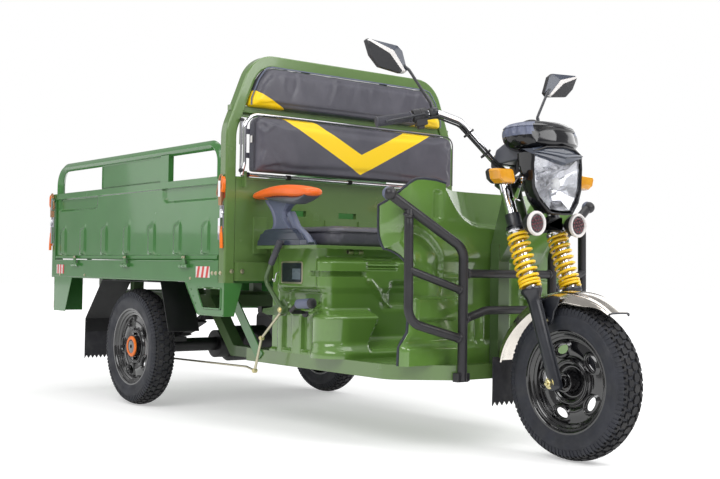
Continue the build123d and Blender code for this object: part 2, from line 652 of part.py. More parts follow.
def side_panel():
    """Left side panel: pressed sheet with ribs, guard rail, blank sign plate, hinge leaves."""
    skin = BED_HALF_WIDTH - 6
    along = (SIDE_REAR, SIDE_FRONT)
    panel = block(along, (SIDE_INNER, skin), (PANEL_BOTTOM, SIDE_TOP))
    panel += block(along, (skin, BED_HALF_WIDTH), (SIDE_TOP - 28, SIDE_TOP))
    panel += block(along, (skin, BED_HALF_WIDTH), (PANEL_BOTTOM, PANEL_BOTTOM + 14))
    field_low, field_mid, field_high = SIDE_TOP - 140, SIDE_TOP - 85, SIDE_TOP - 35
    field = [(-330, field_mid), (-280, field_high), (280, field_high), (330, field_mid),
             (330, field_low), (-330, field_low)]
    panel += side_prism(field, (skin, skin + 4))
    low, top = RAIL_TOP + 28, rib_top()
    for x in RIB_X:
        rib = [(x, low), (x + RIB_WIDTH, low), (x + RIB_WIDTH, top), (x + 30, top + 28), (x, top)]
        panel += side_prism(rib, (skin, skin + 5))
    for x in HINGE_X:
        panel += side_leaf(x)
    return panel + guard_rail() + sign_plate()


def side_leaf(x):
    """Middle knuckle of a side hinge and the leaf up to the panel."""
    y = BED_HALF_WIDTH + HINGE_STANDOFF
    along = (x - LEAF_HALF, x + LEAF_HALF)
    leaf = block(along, (y - 1, y + 3), (HINGE_Z, PANEL_BOTTOM + 14))
    leaf += block(along, (BED_HALF_WIDTH - 1, y + 3), (PANEL_BOTTOM + 2, PANEL_BOTTOM + 14))
    leaf += disc(KNUCKLE_RADIUS, (x - LEAF_HALF, y, HINGE_Z), (1, 0, 0), 2 * LEAF_HALF)
    bore = (x - LEAF_HALF - 1, y, HINGE_Z)
    return leaf - disc(PIN_RADIUS + SEAT_GAP, bore, (1, 0, 0), 2 * LEAF_HALF + 2)


def guard_rail():
    """Tube rail over the side panel."""
    radius = GUARD_TUBE / 2
    y = BED_HALF_WIDTH - radius
    high = GUARD_TOP - radius
    foot = SIDE_TOP - 5
    rear = SIDE_REAR + radius
    front = SIDE_FRONT + 14 - radius
    return rod([(rear, y, foot), (rear, y, high), (front, y, high), (front, y, foot)], radius, [85, 70])


def sign_plate():
    """Blank plate and its post inside the guard rail."""
    y = BED_HALF_WIDTH - GUARD_TUBE / 2
    height = (SIDE_TOP - 2, GUARD_TOP - GUARD_TUBE / 2)
    plate = block((SIGN_REAR, SIGN_FRONT), (y - 2, y + 2), height)
    return plate + block((SIGN_FRONT, SIGN_FRONT + SIGN_POST), (y - 12, y + 12), height)


def tailgate():
    """Rear gate between the corner posts, with ribs and hinge leaves."""
    inner = BED_REAR + 35
    skin = BED_REAR + 11
    face = BED_REAR + 5
    across = (SWING_GAP - POST_INNER, POST_INNER - SWING_GAP)
    gate = block((skin, inner), across, (PANEL_BOTTOM, SIDE_TOP))
    gate += block((face, skin), across, (SIDE_TOP - 28, SIDE_TOP))
    gate += block((face, skin), across, (PANEL_BOTTOM, PANEL_BOTTOM + 14))
    low, top = RAIL_TOP + 28, rib_top() + 28
    half = RIB_WIDTH / 2
    for i in range(-2, 3):
        y = 220 * i
        gate += front_prism([(y - half, low), (y + half, low), (y + half, top), (y, top + 30),
                             (y - half, top)], (face + 1, skin))
    x = tail_hinge_x()
    for y in TAILGATE_HINGE_Y:
        along = (y - LEAF_HALF, y + LEAF_HALF)
        leaf = block((x - 3, x + 1), along, (HINGE_Z, PANEL_BOTTOM + 14))
        leaf += block((x - 3, face + 1), along, (PANEL_BOTTOM + 2, PANEL_BOTTOM + 14))
        leaf += disc(KNUCKLE_RADIUS, (x, y - LEAF_HALF, HINGE_Z), (0, 1, 0), 2 * LEAF_HALF)
        bore = (x, y - LEAF_HALF - 1, HINGE_Z)
        gate += leaf - disc(PIN_RADIUS + SEAT_GAP, bore, (0, 1, 0), 2 * LEAF_HALF + 2)
    return gate


def bed_front_wall():
    """Ribbed wall behind the rider, with a lower beam and the ears that carry the bench."""
    front = WALL_REAR + WALL_THICKNESS
    across = (-HOOP_INNER, HOOP_INNER)
    wall = block((WALL_REAR, front), across, (RAIL_TOP - 5, SIDE_TOP - 5))
    wall += block((WALL_REAR, SEAT_REAR - 6), across, (RAIL_BOTTOM + 8, RAIL_TOP - 5))
    for i in (-2.5, -1.5, -0.5, 0.5, 1.5, 2.5):
        y = 168 * i
        wall += block((front, front + 6), (y - 30, y + 30), (RAIL_TOP + 28, RAIL_TOP + 168))
    for y in (-250, 0, 250):
        slot_z = (SIDE_TOP - 140, SIDE_TOP - 118)
        wall -= block((WALL_REAR - 1, front + 8), (y - 45, y + 45), slot_z)
    ear_y = BENCH_HALF - 12
    for y in (-ear_y, ear_y):
        ear = block((WALL_REAR + 10, BENCH_PIVOT_X + 12), (y - 4, y + 4),
                    (SIDE_TOP - 40, BENCH_PIVOT_Z + 12))
        bore = (BENCH_PIVOT_X, y - 5, BENCH_PIVOT_Z)
        wall += ear - disc(BENCH_TUBE + SEAT_GAP, bore, (0, 1, 0), 10)
    return wall


def hoop():
    """Square tube hoop over the front wall, with its cross rail."""
    top_z = HOOP_TOP - HOOP_TUBE / 2
    y = HOOP_SIDE_Y
    path = FilletPolyline((HOOP_X, -y, RAIL_BOTTOM), (HOOP_X, -y, HOOP_SHOULDER_Z),
                          (HOOP_X, -HOOP_CORNER_Y, top_z), (HOOP_X, HOOP_CORNER_Y, top_z),
                          (HOOP_X, y, HOOP_SHOULDER_Z), (HOOP_X, y, RAIL_BOTTOM),
                          radius=[150, 116, 116, 150])
    section = Plane(origin=path @ 0, z_dir=path % 0) * RectangleRounded(HOOP_TUBE, HOOP_TUBE, 6)
    tube = sweep(section, path=path)
    rail = block((HOOP_X - 12, HOOP_X + 12), (-y, y), CROSS_RAIL_Z)
    tabs = block((HOOP_X - 12, HOOP_X - 6), (180, 220), (HOOP_TOP - 74, top_z))
    return tube + rail + pair(tabs)


def hoop_inside(z):
    """Half width between the hoop's leaning sides at a height."""
    run = HOOP_SIDE_Y - HOOP_CORNER_Y
    rise = HOOP_TOP - HOOP_TUBE / 2 - HOOP_SHOULDER_Z
    centre = HOOP_SIDE_Y - run * (z - HOOP_SHOULDER_Z) / rise
    return centre - HOOP_TUBE / 2 * math.hypot(run, rise) / rise


def upper_backrest():
    """Fixed cushion inside the hoop, resting on the cross rail."""
    low = CROSS_RAIL_Z[1]
    high = HOOP_TOP - HOOP_TUBE - 13
    outline = [(hoop_inside(low) - 7, low), (hoop_inside(high - 11) - 15, high - 11),
               (hoop_inside(high) - 31, high)]
    points = outline + [(-y, z) for y, z in outline[::-1]]
    return front_prism(points, (HOOP_X - 6, HOOP_X + 54))


def tail_lamps():
    """Two tone lamps on the rear posts and orange markers on the skirts."""
    lamp = block((LAMP_REAR, BED_REAR), (POST_INNER + 2, BED_HALF_WIDTH - 2),
                 (RAIL_TOP + 68, RAIL_TOP + 168))
    low = RAIL_BOTTOM - SKIRT_DEPTH + 12
    marker = block((SIDE_REAR - 20, SIDE_REAR - 8), (BED_HALF_WIDTH - 76, BED_HALF_WIDTH - 4),
                   (low, low + 35))
    return [lamp, mirrored(lamp), marker, mirrored(marker)]


def panel_latches():
    """Toggle latches with long handles at the four corners of the bed."""
    outer = BED_HALF_WIDTH
    low = RAIL_TOP + 68
    latches = []
    for x_low in (HOOP_X - 8, BED_REAR + 6):
        x_high = x_low + 20
        body = block((x_low, x_high), (outer, outer + 6), (low, low + 210))
        body += block((x_low + 2, x_high - 2), (outer + 5, outer + 14), (low + 10, low + 90))
        body += block((x_low + 2, x_high - 2), (outer + 5, outer + 16), (low + 170, low + 230))
        latches += [body, mirrored(body)]
    return latches


def parking_brake():
    """Hand lever on a pivot boss, its link and the pull rod along the right side."""
    y = -LEVER_Y
    x = BASE_FRONT - 142
    z = FLOOR_TOP + 161
    lever = rod([(x - 26, y, z + 244), (x - 121, y, z + 106), (x, y, z)], 7, [25])
    lever += rod([(x - 80, y, z + 166), (x - 24, y, z + 246)], 11)
    boss = disc(14, (x, 2 - FLOOR_HALF_WIDTH, z), (0, -1, 0), LEVER_REACH + 12)
    low = FRAME_LOW - 27
    link = rod([(x, y, z), (x - 135, y, z - 109), (x - 178, y, low)], 5, [20])
    arm_y = -BRAKE_PLATE_Y + BRAKE_PLATE + 35
    axle_z = TYRE_RADIUS + 12
    pull = rod([(x - 178, y, low), (FLOOR_REAR, arm_y, low - 2), (108, arm_y, low - 11),
                (70, arm_y, axle_z)], 4, [60, 12])
    pull += disc(9, (70, arm_y + 4, axle_z), (0, -1, 0), 39)
    return lever + boss + link + pull


def shift_lever():
    """Range selector: bent stalk out of the seat base's side, with a round grip."""
    y = -LEVER_Y
    x = BASE_FRONT - 100
    z = FLOOR_TOP + 155
    stalk = rod([(x, 2 - FLOOR_HALF_WIDTH, z), (x, y, z), (x + 60, y, z + 33)], 7, [18])
    return stalk + disc(17, (x + 45, y, z + 34), (1, 0, -0.08), 100)


# ---------------------------------------------------------------- steering
# The fork, its springs and the front fender are drawn from the point where the steering axis meets
# the height of the front axle. The lamps, the bar and what it carries are drawn from the point
# where the axis passes the lower crown.
def steering_foot():
    """Location of the steering axis at the height of the front axle."""
    return Pos(STEER_X, 0, TYRE_RADIUS)


def steering_axis():
    """Location whose Z runs up the steering axis and whose X points forward."""
    return steering_foot() * Rot(0, -RAKE, 0)


def crown_from_foot():
    """Upright location of the lower crown on the steering axis, from the steering foot."""
    rake = math.radians(RAKE)
    return Pos(-CROWN_LOW[0] * math.sin(rake), 0, CROWN_LOW[0] * math.cos(rake))


def bar_points():
    """Centre line of the handlebar's left half."""
    x, z = -BAR_BACK, BAR_HEIGHT
    return [(x, 0, z), (x, 60, z), (x - 58, 165, z + 135), (x - 83, 250, z + 160), (x - 168, 435, z + 118)]


def bar(radius):
    """Round bar of a radius along the handlebar's whole line."""
    half = bar_points()
    points = [(x, -y, z) for x, y, z in half[:0:-1]] + half[1:]
    return rod(points, radius, [90, 40, 40, 40, 40, 90])


def fork():
    """Crowns, steerer, stanchions, lower legs with spring cups, risers and the axle."""
    shape = None
    for (low, high), neck in ((CROWN_LOW, 34), (CROWN_HIGH, 58)):
        crown = Rot(0, 0, 90) * SlotOverall(2 * LEG_Y + CROWN_WIDTH, CROWN_WIDTH)
        plate = Pos(CROWN_FRONT - CROWN_WIDTH / 2, 0, low) * extrude(crown, amount=high - low)
        plate += Pos(0, 0, low) * extrude(Circle(neck), amount=high - low)
        shape = plate if shape is None else shape + plate
    steerer = CROWN_HIGH[1] + 20 - CROWN_LOW[0]
    shape += Pos(0, 0, CROWN_LOW[0]) * extrude(Circle(STEERER_RADIUS), amount=steerer)
    stages = [(SPRING_LOW - 12, CROWN_HIGH[1] + 8, STANCHION_RADIUS),
              (LEG_LOW, SPRING_LOW - 8, LOWER_LEG_RADIUS),
              (SPRING_LOW - 10, SPRING_LOW, SPRING_RADIUS - 2),
              (SPRING_HIGH, CROWN_LOW[0], SPRING_RADIUS - 5)]
    for low, high, radius in stages:
        shape += pair(Pos(LEG_OFFSET, LEG_Y, low) * extrude(Circle(radius), amount=high - low))
    riser_x = 1.2
    riser = Pos(riser_x, 45, CROWN_HIGH[1] - 1) * extrude(Circle(BAR_RADIUS + 4), amount=85)
    legs = Rot(0, -RAKE, 0) * (shape + pair(riser))
    axle = disc(FRONT_AXLE_RADIUS, (AXLE_LEAD, -LEG_Y - 26, 0), (0, 1, 0), 2 * LEG_Y + 52)
    nut = disc(15, (AXLE_LEAD, LEG_Y + 15, 0), (0, 1, 0), 10)
    return legs + axle + pair(nut) - crown_from_foot() * bar(BAR_RADIUS + SEAT_GAP)


def fork_springs():
    """Coil springs round the stanchions, as ribbed sleeves."""
    turns = 10
    pitch = (SPRING_HIGH - SPRING_LOW) / turns
    core = STANCHION_RADIUS + SEAT_GAP
    sleeve = None
    for i in range(turns):
        low = SPRING_LOW + i * pitch
        ring = [(core, low), (SPRING_RADIUS - 5, low), (SPRING_RADIUS, low + pitch / 2),
                (SPRING_RADIUS - 5, low + pitch), (core, low + pitch)]
        face = make_face(Polyline(*[(r, 0, z) for r, z in ring], close=True))
        turn = revolve(face, axis=Axis.Z)
        sleeve = turn if sleeve is None else sleeve + turn
    spring = Rot(0, -RAKE, 0) * (Pos(LEG_OFFSET, LEG_Y, 0) * sleeve)
    return [spring, mirrored(spring)]


def front_fender():
    """Arched fender over the front wheel, with its stays down to the fork legs."""
    half = FENDER_HALF_WIDTH
    r = FENDER_RADIUS
    section = [(r - 30, half), (r - 12, half - 4), (r, half - 26), (r, 26 - half),
               (r - 12, 4 - half), (r - 30, -half), (r - 30, 3 - half), (r - 14, 7 - half),
               (r - 3, 28 - half), (r - 3, half - 28), (r - 14, half - 7), (r - 30, half - 3)]
    arch = spun(section, (AXLE_LEAD, 0), angle=115, start=55)
    leg_face = LEG_Y - LOWER_LEG_RADIUS - SEAT_GAP
    stay = side_prism([(-86, r - 68), (-82, r - 30), (-7, r - 38), (-7, r - 88)], (half - 4, leg_face))
    return arch + pair(stay)


def front_mudflap():
    """Rubber flap behind the front wheel, hung from the fender's rear end."""
    rear = AXLE_LEAD - FENDER_RADIUS + 2
    half = FENDER_HALF_WIDTH + 8
    outline = flap_outline(-half, half, 49.4, 147 - TYRE_RADIUS)
    return front_prism(outline, (rear, rear + 4))


def headlight():
    """Angular headlight housing, open at the front for its lens, on the upper crown."""
    side = [(41, 105), (41, 260), (111, 275), (159, 225), (161, 135), (131, 75), (81, 70)]
    plate = (CROWN_HIGH[0] - CROWN_LOW[0], CROWN_HIGH[1] - CROWN_LOW[0])
    mount = block((CROWN_FRONT, CROWN_FRONT + 50), (-30, 30), plate)
    return side_prism(side, (-100, 100)) + Rot(0, -RAKE, 0) * mount


def headlight_lens():
    """Clear lens in front of the housing."""
    side = [(161, 135), (159, 225), (111, 275), (119, 281), (171, 228), (173, 133)]
    return side_prism(side, (-92, 92))


def instrument_pod():
    """Hooded instrument pod over the headlight."""
    side = [(-27, 285), (-19, 335), (41, 373), (111, 367), (151, 315), (136, 283)]
    return side_prism(side, (-120, 120)) + block((1, 61), (-20, 20), (265, 287))


def turn_signals():
    """Amber signals on short stalks beside the headlight."""
    stalk = disc(9, (77, 100, 175), (0, 1, 0), 50)
    lamp = block((35, 119), (148, 232), (153, 197))
    return [stalk + lamp, mirrored(stalk + lamp)]


def aux_lamps():
    """Round driving lamps under the headlight on a bracket from the lower crown."""
    lamp = disc(40, (101, 99, 27), (1, 0, 0), 50)
    box = block((73, 133), (-60, 60), (10, 55))
    plate = (0, CROWN_LOW[1] - CROWN_LOW[0])
    arm = Rot(0, -RAKE, 0) * block((CROWN_FRONT, CROWN_FRONT + 30), (-45, 45), plate)
    return box + arm + pair(lamp)


def handlebar():
    """Chrome bar, bent up and out, then back to the grips."""
    return bar(BAR_RADIUS)


def bar_end():
    """End of the left bar and the direction in which it points."""
    inner, outer = bar_points()[-2:]
    return Vector(*outer), (Vector(*outer) - Vector(*inner)).normalized()


def sleeve_on_bar(radius, start, length):
    """Sleeve on the straight end of the left bar, from a distance short of its end."""
    end, way = bar_end()
    sleeve = disc(radius, end - way * start, way, length)
    bore = min(start, length) + 1
    return sleeve - disc(BAR_RADIUS + SEAT_GAP, end - way * (start + 1), way, bore + SEAT_GAP)


def grips():
    """Rubber grips on the ends of the bar."""
    grip = sleeve_on_bar(17, 118, 125)
    return [grip, mirrored(grip)]


def hand_controls():
    """Switch housings with brake levers."""
    end, way = bar_end()
    start = 172
    housing = sleeve_on_bar(22, start, 50)
    knuckle = end - way * (start - 12) + Vector(18, 4, 0)
    control = housing + rod([knuckle, knuckle + way * 165 + Vector(30, 0, -4)], 6)
    return [control, mirrored(control)]


def mirrors():
    """Mirrors on bent stems, clamped to the bar's bends."""
    stem = rod([(-178, 268, 403), (-191, 262, 435), (-212, 338, 537), (-223, 372, 560)], 5, [14, 20])
    clamp = disc(16, (-169, 258, 399), (-0.4, 0.9, -0.2), 16)
    outline = [(335, 537), (365, 525), (455, 535), (493, 569), (512, 617), (490, 622),
               (380, 615), (358, 600)]
    head = front_prism(outline, (-241, -219))
    mirror_part = stem + head + clamp - bar(BAR_RADIUS + SEAT_GAP)
    return [mirror_part, mirrored(mirror_part)]


# ---------------------------------------------------------------- seats
def bench_frame():
    """Chromed tube frame round the folding bench, with tabs that carry its cushion."""
    y = BENCH_HALF
    x = BENCH_PIVOT_X
    z = BENCH_PIVOT_Z
    back = bench_plane_x()
    top = z + BENCH_HEIGHT
    frame = rod([(x, -y, z), (back, -y, z + 40), (back, -y, top), (back, y, top),
                 (back, y, z + 40), (x, y, z)], BENCH_TUBE, [20, BENCH_CORNER, BENCH_CORNER, 20])
    frame += rod([(x, -y, z), (x, y, z)], BENCH_TUBE)
    for height in (z + 60, z + 150):
        frame += pair(block((back + 4, back + BENCH_TUBE), (y - 30, y), (height, height + 20)))
    return frame


def bench_plane_x():
    """Plane of the bench frame's upright tubes."""
    return BENCH_PIVOT_X + 18


def bench_cushion():
    """Bench cushion held in the frame; the rider's backrest while folded up."""
    rear = bench_plane_x() + BENCH_TUBE
    half = BENCH_HALF - BENCH_TUBE - 1
    high = BENCH_PIVOT_Z + BENCH_HEIGHT - BENCH_TUBE - 1
    cushion = block((rear, rear + 52), (-half, half), (BENCH_PIVOT_Z + 12, high))
    upper = cushion.edges().filter_by(Axis.X).sort_by(Axis.Z)[2:4]
    return fillet(upper, BENCH_CORNER - 8)


def seat_board():
    """Lid of the seat base with its front hinge."""
    half = FLOOR_HALF_WIDTH + 52
    board = block((SEAT_REAR, SEAT_FRONT), (-half, half), SEAT_BOARD_Z)
    for y in SEAT_HINGE_Y:
        board += block((SEAT_HINGE_X - 4, SEAT_HINGE_X + 4), (y - LEAF_HALF, y + LEAF_HALF),
                       (SEAT_HINGE_Z, SEAT_BOARD_Z[0] + 1))
        knuckle = (SEAT_HINGE_X, y - LEAF_HALF, SEAT_HINGE_Z)
        board += disc(KNUCKLE_RADIUS, knuckle, (0, 1, 0), 2 * LEAF_HALF)
        bore = (SEAT_HINGE_X, y - LEAF_HALF - 1, SEAT_HINGE_Z)
        board -= disc(PIN_RADIUS + SEAT_GAP, bore, (0, 1, 0), 2 * LEAF_HALF + 2)
    return board


def seat_cushion():
    """Rider's cushion with a raised front roll."""
    low = SEAT_BOARD_Z[1]
    rear = SEAT_REAR + 12
    front = SEAT_FRONT - 17
    side = [(rear, low), (rear, low + 42), (rear + 15, low + 58), (front - 88, low + 58),
            (front - 38, low + 68), (front - 3, low + 50), (front, low)]
    return side_prism(side, (-370, 370))


def armrests():
    """Curved stalks that carry the arm pads."""
    low = SEAT_BOARD_Z[1]
    x = SEAT_REAR + 42
    foot = block((x, x + 250), (385, 445), (low, low + 20))
    stalk = side_prism([(x + 10, low + 20), (x + 170, low + 20), (x + 105, low + 95),
                        (x + 95, low + 170), (x + 45, low + 170), (x + 35, low + 95)], (398, 432))
    return [foot + stalk, mirrored(foot + stalk)]


def arm_pads():
    """Soft arm pads on the stalks."""
    x = SEAT_REAR + 45
    z = SEAT_BOARD_Z[1] + 170
    pad = side_prism([(x, z + 12), (x + 17, z), (x + 257, z), (x + 278, z + 12), (x + 267, z + 30),
                      (x + 17, z + 35)], (388, 470))
    return [pad, mirrored(pad)]


# ---------------------------------------------------------------- assembly
def write(name, shape, place=Pos(0, 0, 0)):
    """Move a node to the origin under the vehicle's middle and save it."""
    shapes = shape if isinstance(shape, list) else [shape]
    solids = [solid for each in shapes for solid in each.solids()]
    moved = [Pos(-MIDDLE_X, 0, 0) * place * solid for solid in solids]
    export_step(moved[0] if len(moved) == 1 else Compound(children=moved), f"parts/{name}.step")


CHASSIS_PIECES = (main_frame, footboard, leg_shield, crash_guard, seat_base, battery_block, rear_axle,
                  leaf_springs, rear_mudguards, rear_mudflaps, load_bed, bed_front_wall, hoop,
                  upper_backrest, tail_lamps, panel_latches, parking_brake, shift_lever)
FORK_PIECES = (fork, fork_springs, front_fender, front_mudflap)
CROWN_PIECES = (headlight, headlight_lens, instrument_pod, turn_signals, aux_lamps, handlebar, grips,
                hand_controls, mirrors)
FOLDING_PIECES = (tailgate, bench_frame, bench_cushion, seat_board, seat_cushion, armrests, arm_pads)


def main():
    os.makedirs("parts", exist_ok=True)
    for piece in CHASSIS_PIECES + FOLDING_PIECES:
        write(piece.__name__, piece())
    for piece in FORK_PIECES:
        write(piece.__name__, piece(), steering_foot())
    for piece in CROWN_PIECES:
        write(piece.__name__, piece(), steering_foot() * crown_from_foot())
    write("side_panel_left", side_panel())
    write("side_panel_right", mirrored(side_panel()))
    write("front_tyre", tyre(WHEELBASE, 0))
    write("front_rim", rim(WHEELBASE, 0, -1, FRONT_AXLE_RADIUS + SEAT_GAP, FRONT_HUB_HALF,
                           FRONT_HUB_HALF, 0))
    for name, side in (("left", 1), ("right", -1)):
        write(f"rear_{name}_tyre", tyre(0, side * REAR_WHEEL_Y))
        write(f"rear_{name}_rim", rim(0, side * REAR_WHEEL_Y, side, SPINDLE_RADIUS + SEAT_GAP,
                                      REAR_HUB_DEPTH, REAR_HUB_FACE, HUB_CAP_FACE))


main()
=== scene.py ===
"""Looks of the electric cargo tricycle: surfaces, soft pieces, small parts, lights and camera.

Points are given in millimetres from the rear axle's centre line on the ground, +X forward, +Y to
the rider's left, +Z up, and `at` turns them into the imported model's own frame, in metres.
"""
import bpy
import bmesh
import math
from mathutils import Matrix, Vector

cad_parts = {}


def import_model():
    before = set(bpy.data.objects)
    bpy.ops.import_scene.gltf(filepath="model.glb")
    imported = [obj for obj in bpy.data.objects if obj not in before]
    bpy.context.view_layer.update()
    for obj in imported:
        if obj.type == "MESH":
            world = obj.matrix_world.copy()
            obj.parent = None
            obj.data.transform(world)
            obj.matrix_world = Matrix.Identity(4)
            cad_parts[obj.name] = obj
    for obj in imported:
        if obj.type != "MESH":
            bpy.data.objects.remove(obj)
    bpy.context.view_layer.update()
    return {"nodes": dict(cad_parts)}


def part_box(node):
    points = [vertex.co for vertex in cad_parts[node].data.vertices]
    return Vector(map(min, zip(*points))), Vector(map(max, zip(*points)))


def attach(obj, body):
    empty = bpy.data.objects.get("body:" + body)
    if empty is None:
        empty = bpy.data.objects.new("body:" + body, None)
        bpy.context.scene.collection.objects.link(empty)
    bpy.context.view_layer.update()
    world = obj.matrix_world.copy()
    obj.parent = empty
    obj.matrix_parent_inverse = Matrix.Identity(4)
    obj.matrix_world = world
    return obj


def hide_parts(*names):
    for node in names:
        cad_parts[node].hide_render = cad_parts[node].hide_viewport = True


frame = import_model()

MM = 0.001
LEFT_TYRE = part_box("rear_left_tyre")
FRONT_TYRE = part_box("front_tyre")
AXLE_X = (LEFT_TYRE[0].x + LEFT_TYRE[1].x) / 2


def middle_mm(box):
    """Middle of a node's box, in millimetres from the rear axle."""
    centre = (box[0] + box[1]) / 2
    return Vector(((centre.x - AXLE_X) / MM, centre.y / MM, centre.z / MM))


def edges_mm(node):
    """Low and high corner of a node's box, in millimetres from the rear axle."""
    low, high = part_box(node)
    shift = Vector((AXLE_X, 0, 0))
    return (low - shift) / MM, (high - shift) / MM


WHEELBASE = middle_mm(FRONT_TYRE).x
REAR_WHEEL_Y = middle_mm(LEFT_TYRE).y
AXLE_Z = middle_mm(LEFT_TYRE).z
TYRE_RADIUS = AXLE_Z
KNUCKLES_PROUD = 17         # of the bed's side rails
BED_HALF = edges_mm("load_bed")[1].y - KNUCKLES_PROUD
RAKE = math.radians(20)
STEER_BEHIND = 48           # from the front axle back to the steering axis, at axle height
STEER_X = WHEELBASE - STEER_BEHIND
RIGHT, LEFT = -1, 1
SIDE = {LEFT: "left", RIGHT: "right"}


def at(x, y, z):
    """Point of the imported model's frame, in metres."""
    return Vector((AXLE_X + x * MM, y * MM, z * MM))


def lean(x, y, z):
    """Vehicle point of a point given along the leaning steering axis, in millimetres."""
    return (STEER_X + x * math.cos(RAKE) - z * math.sin(RAKE), y,
            AXLE_Z + x * math.sin(RAKE) + z * math.cos(RAKE))


def smooth(value, low, high):
    """Smooth step from 0 at low to 1 at high."""
    t = min(1, max(0, (value - low) / (high - low)))
    return t * t * (3 - 2 * t)


def ease(value, points):
    """Value read from (position, value) pairs with straight runs between them."""
    if value <= points[0][0]:
        return points[0][1]
    for (a, start), (b, end) in zip(points, points[1:]):
        if value <= b:
            return start + (end - start) * (value - a) / (b - a)
    return points[-1][1]


def spread(low, high, count):
    """Evenly spaced values from low to high, both included."""
    return [low + (high - low) * i / (count - 1) for i in range(count)]


# ---------------------------------------------------------------- shapes
def rounded(points, radii):
    """Points of a path whose inner corners are rounded to the given radii."""
    points = [Vector(p) for p in points]
    if not radii:
        return points
    path = [points[0]]
    for before, corner, after, radius in zip(points, points[1:], points[2:], radii):
        come = (before - corner).normalized()
        leave = (after - corner).normalized()
        turn = math.pi - come.angle(leave)
        if turn < 0.01 or radius <= 0:
            path.append(corner)
            continue
        reach = radius * math.tan(turn / 2)
        centre = corner + (come + leave).normalized() * (radius / math.cos(turn / 2))
        start = corner + come * reach - centre
        normal = start.cross(corner + leave * reach - centre).normalized()
        steps = max(2, round(math.degrees(turn) / 9))
        for i in range(steps + 1):
            path.append(centre + Matrix.Rotation(turn * i / steps, 3, normal) @ start)
    path.append(points[-1])
    return path


def circle(radius, sides):
    """Corners of a circle, as pairs."""
    step = 2 * math.pi / sides
    return [(radius * math.cos(step * i), radius * math.sin(step * i)) for i in range(sides)]


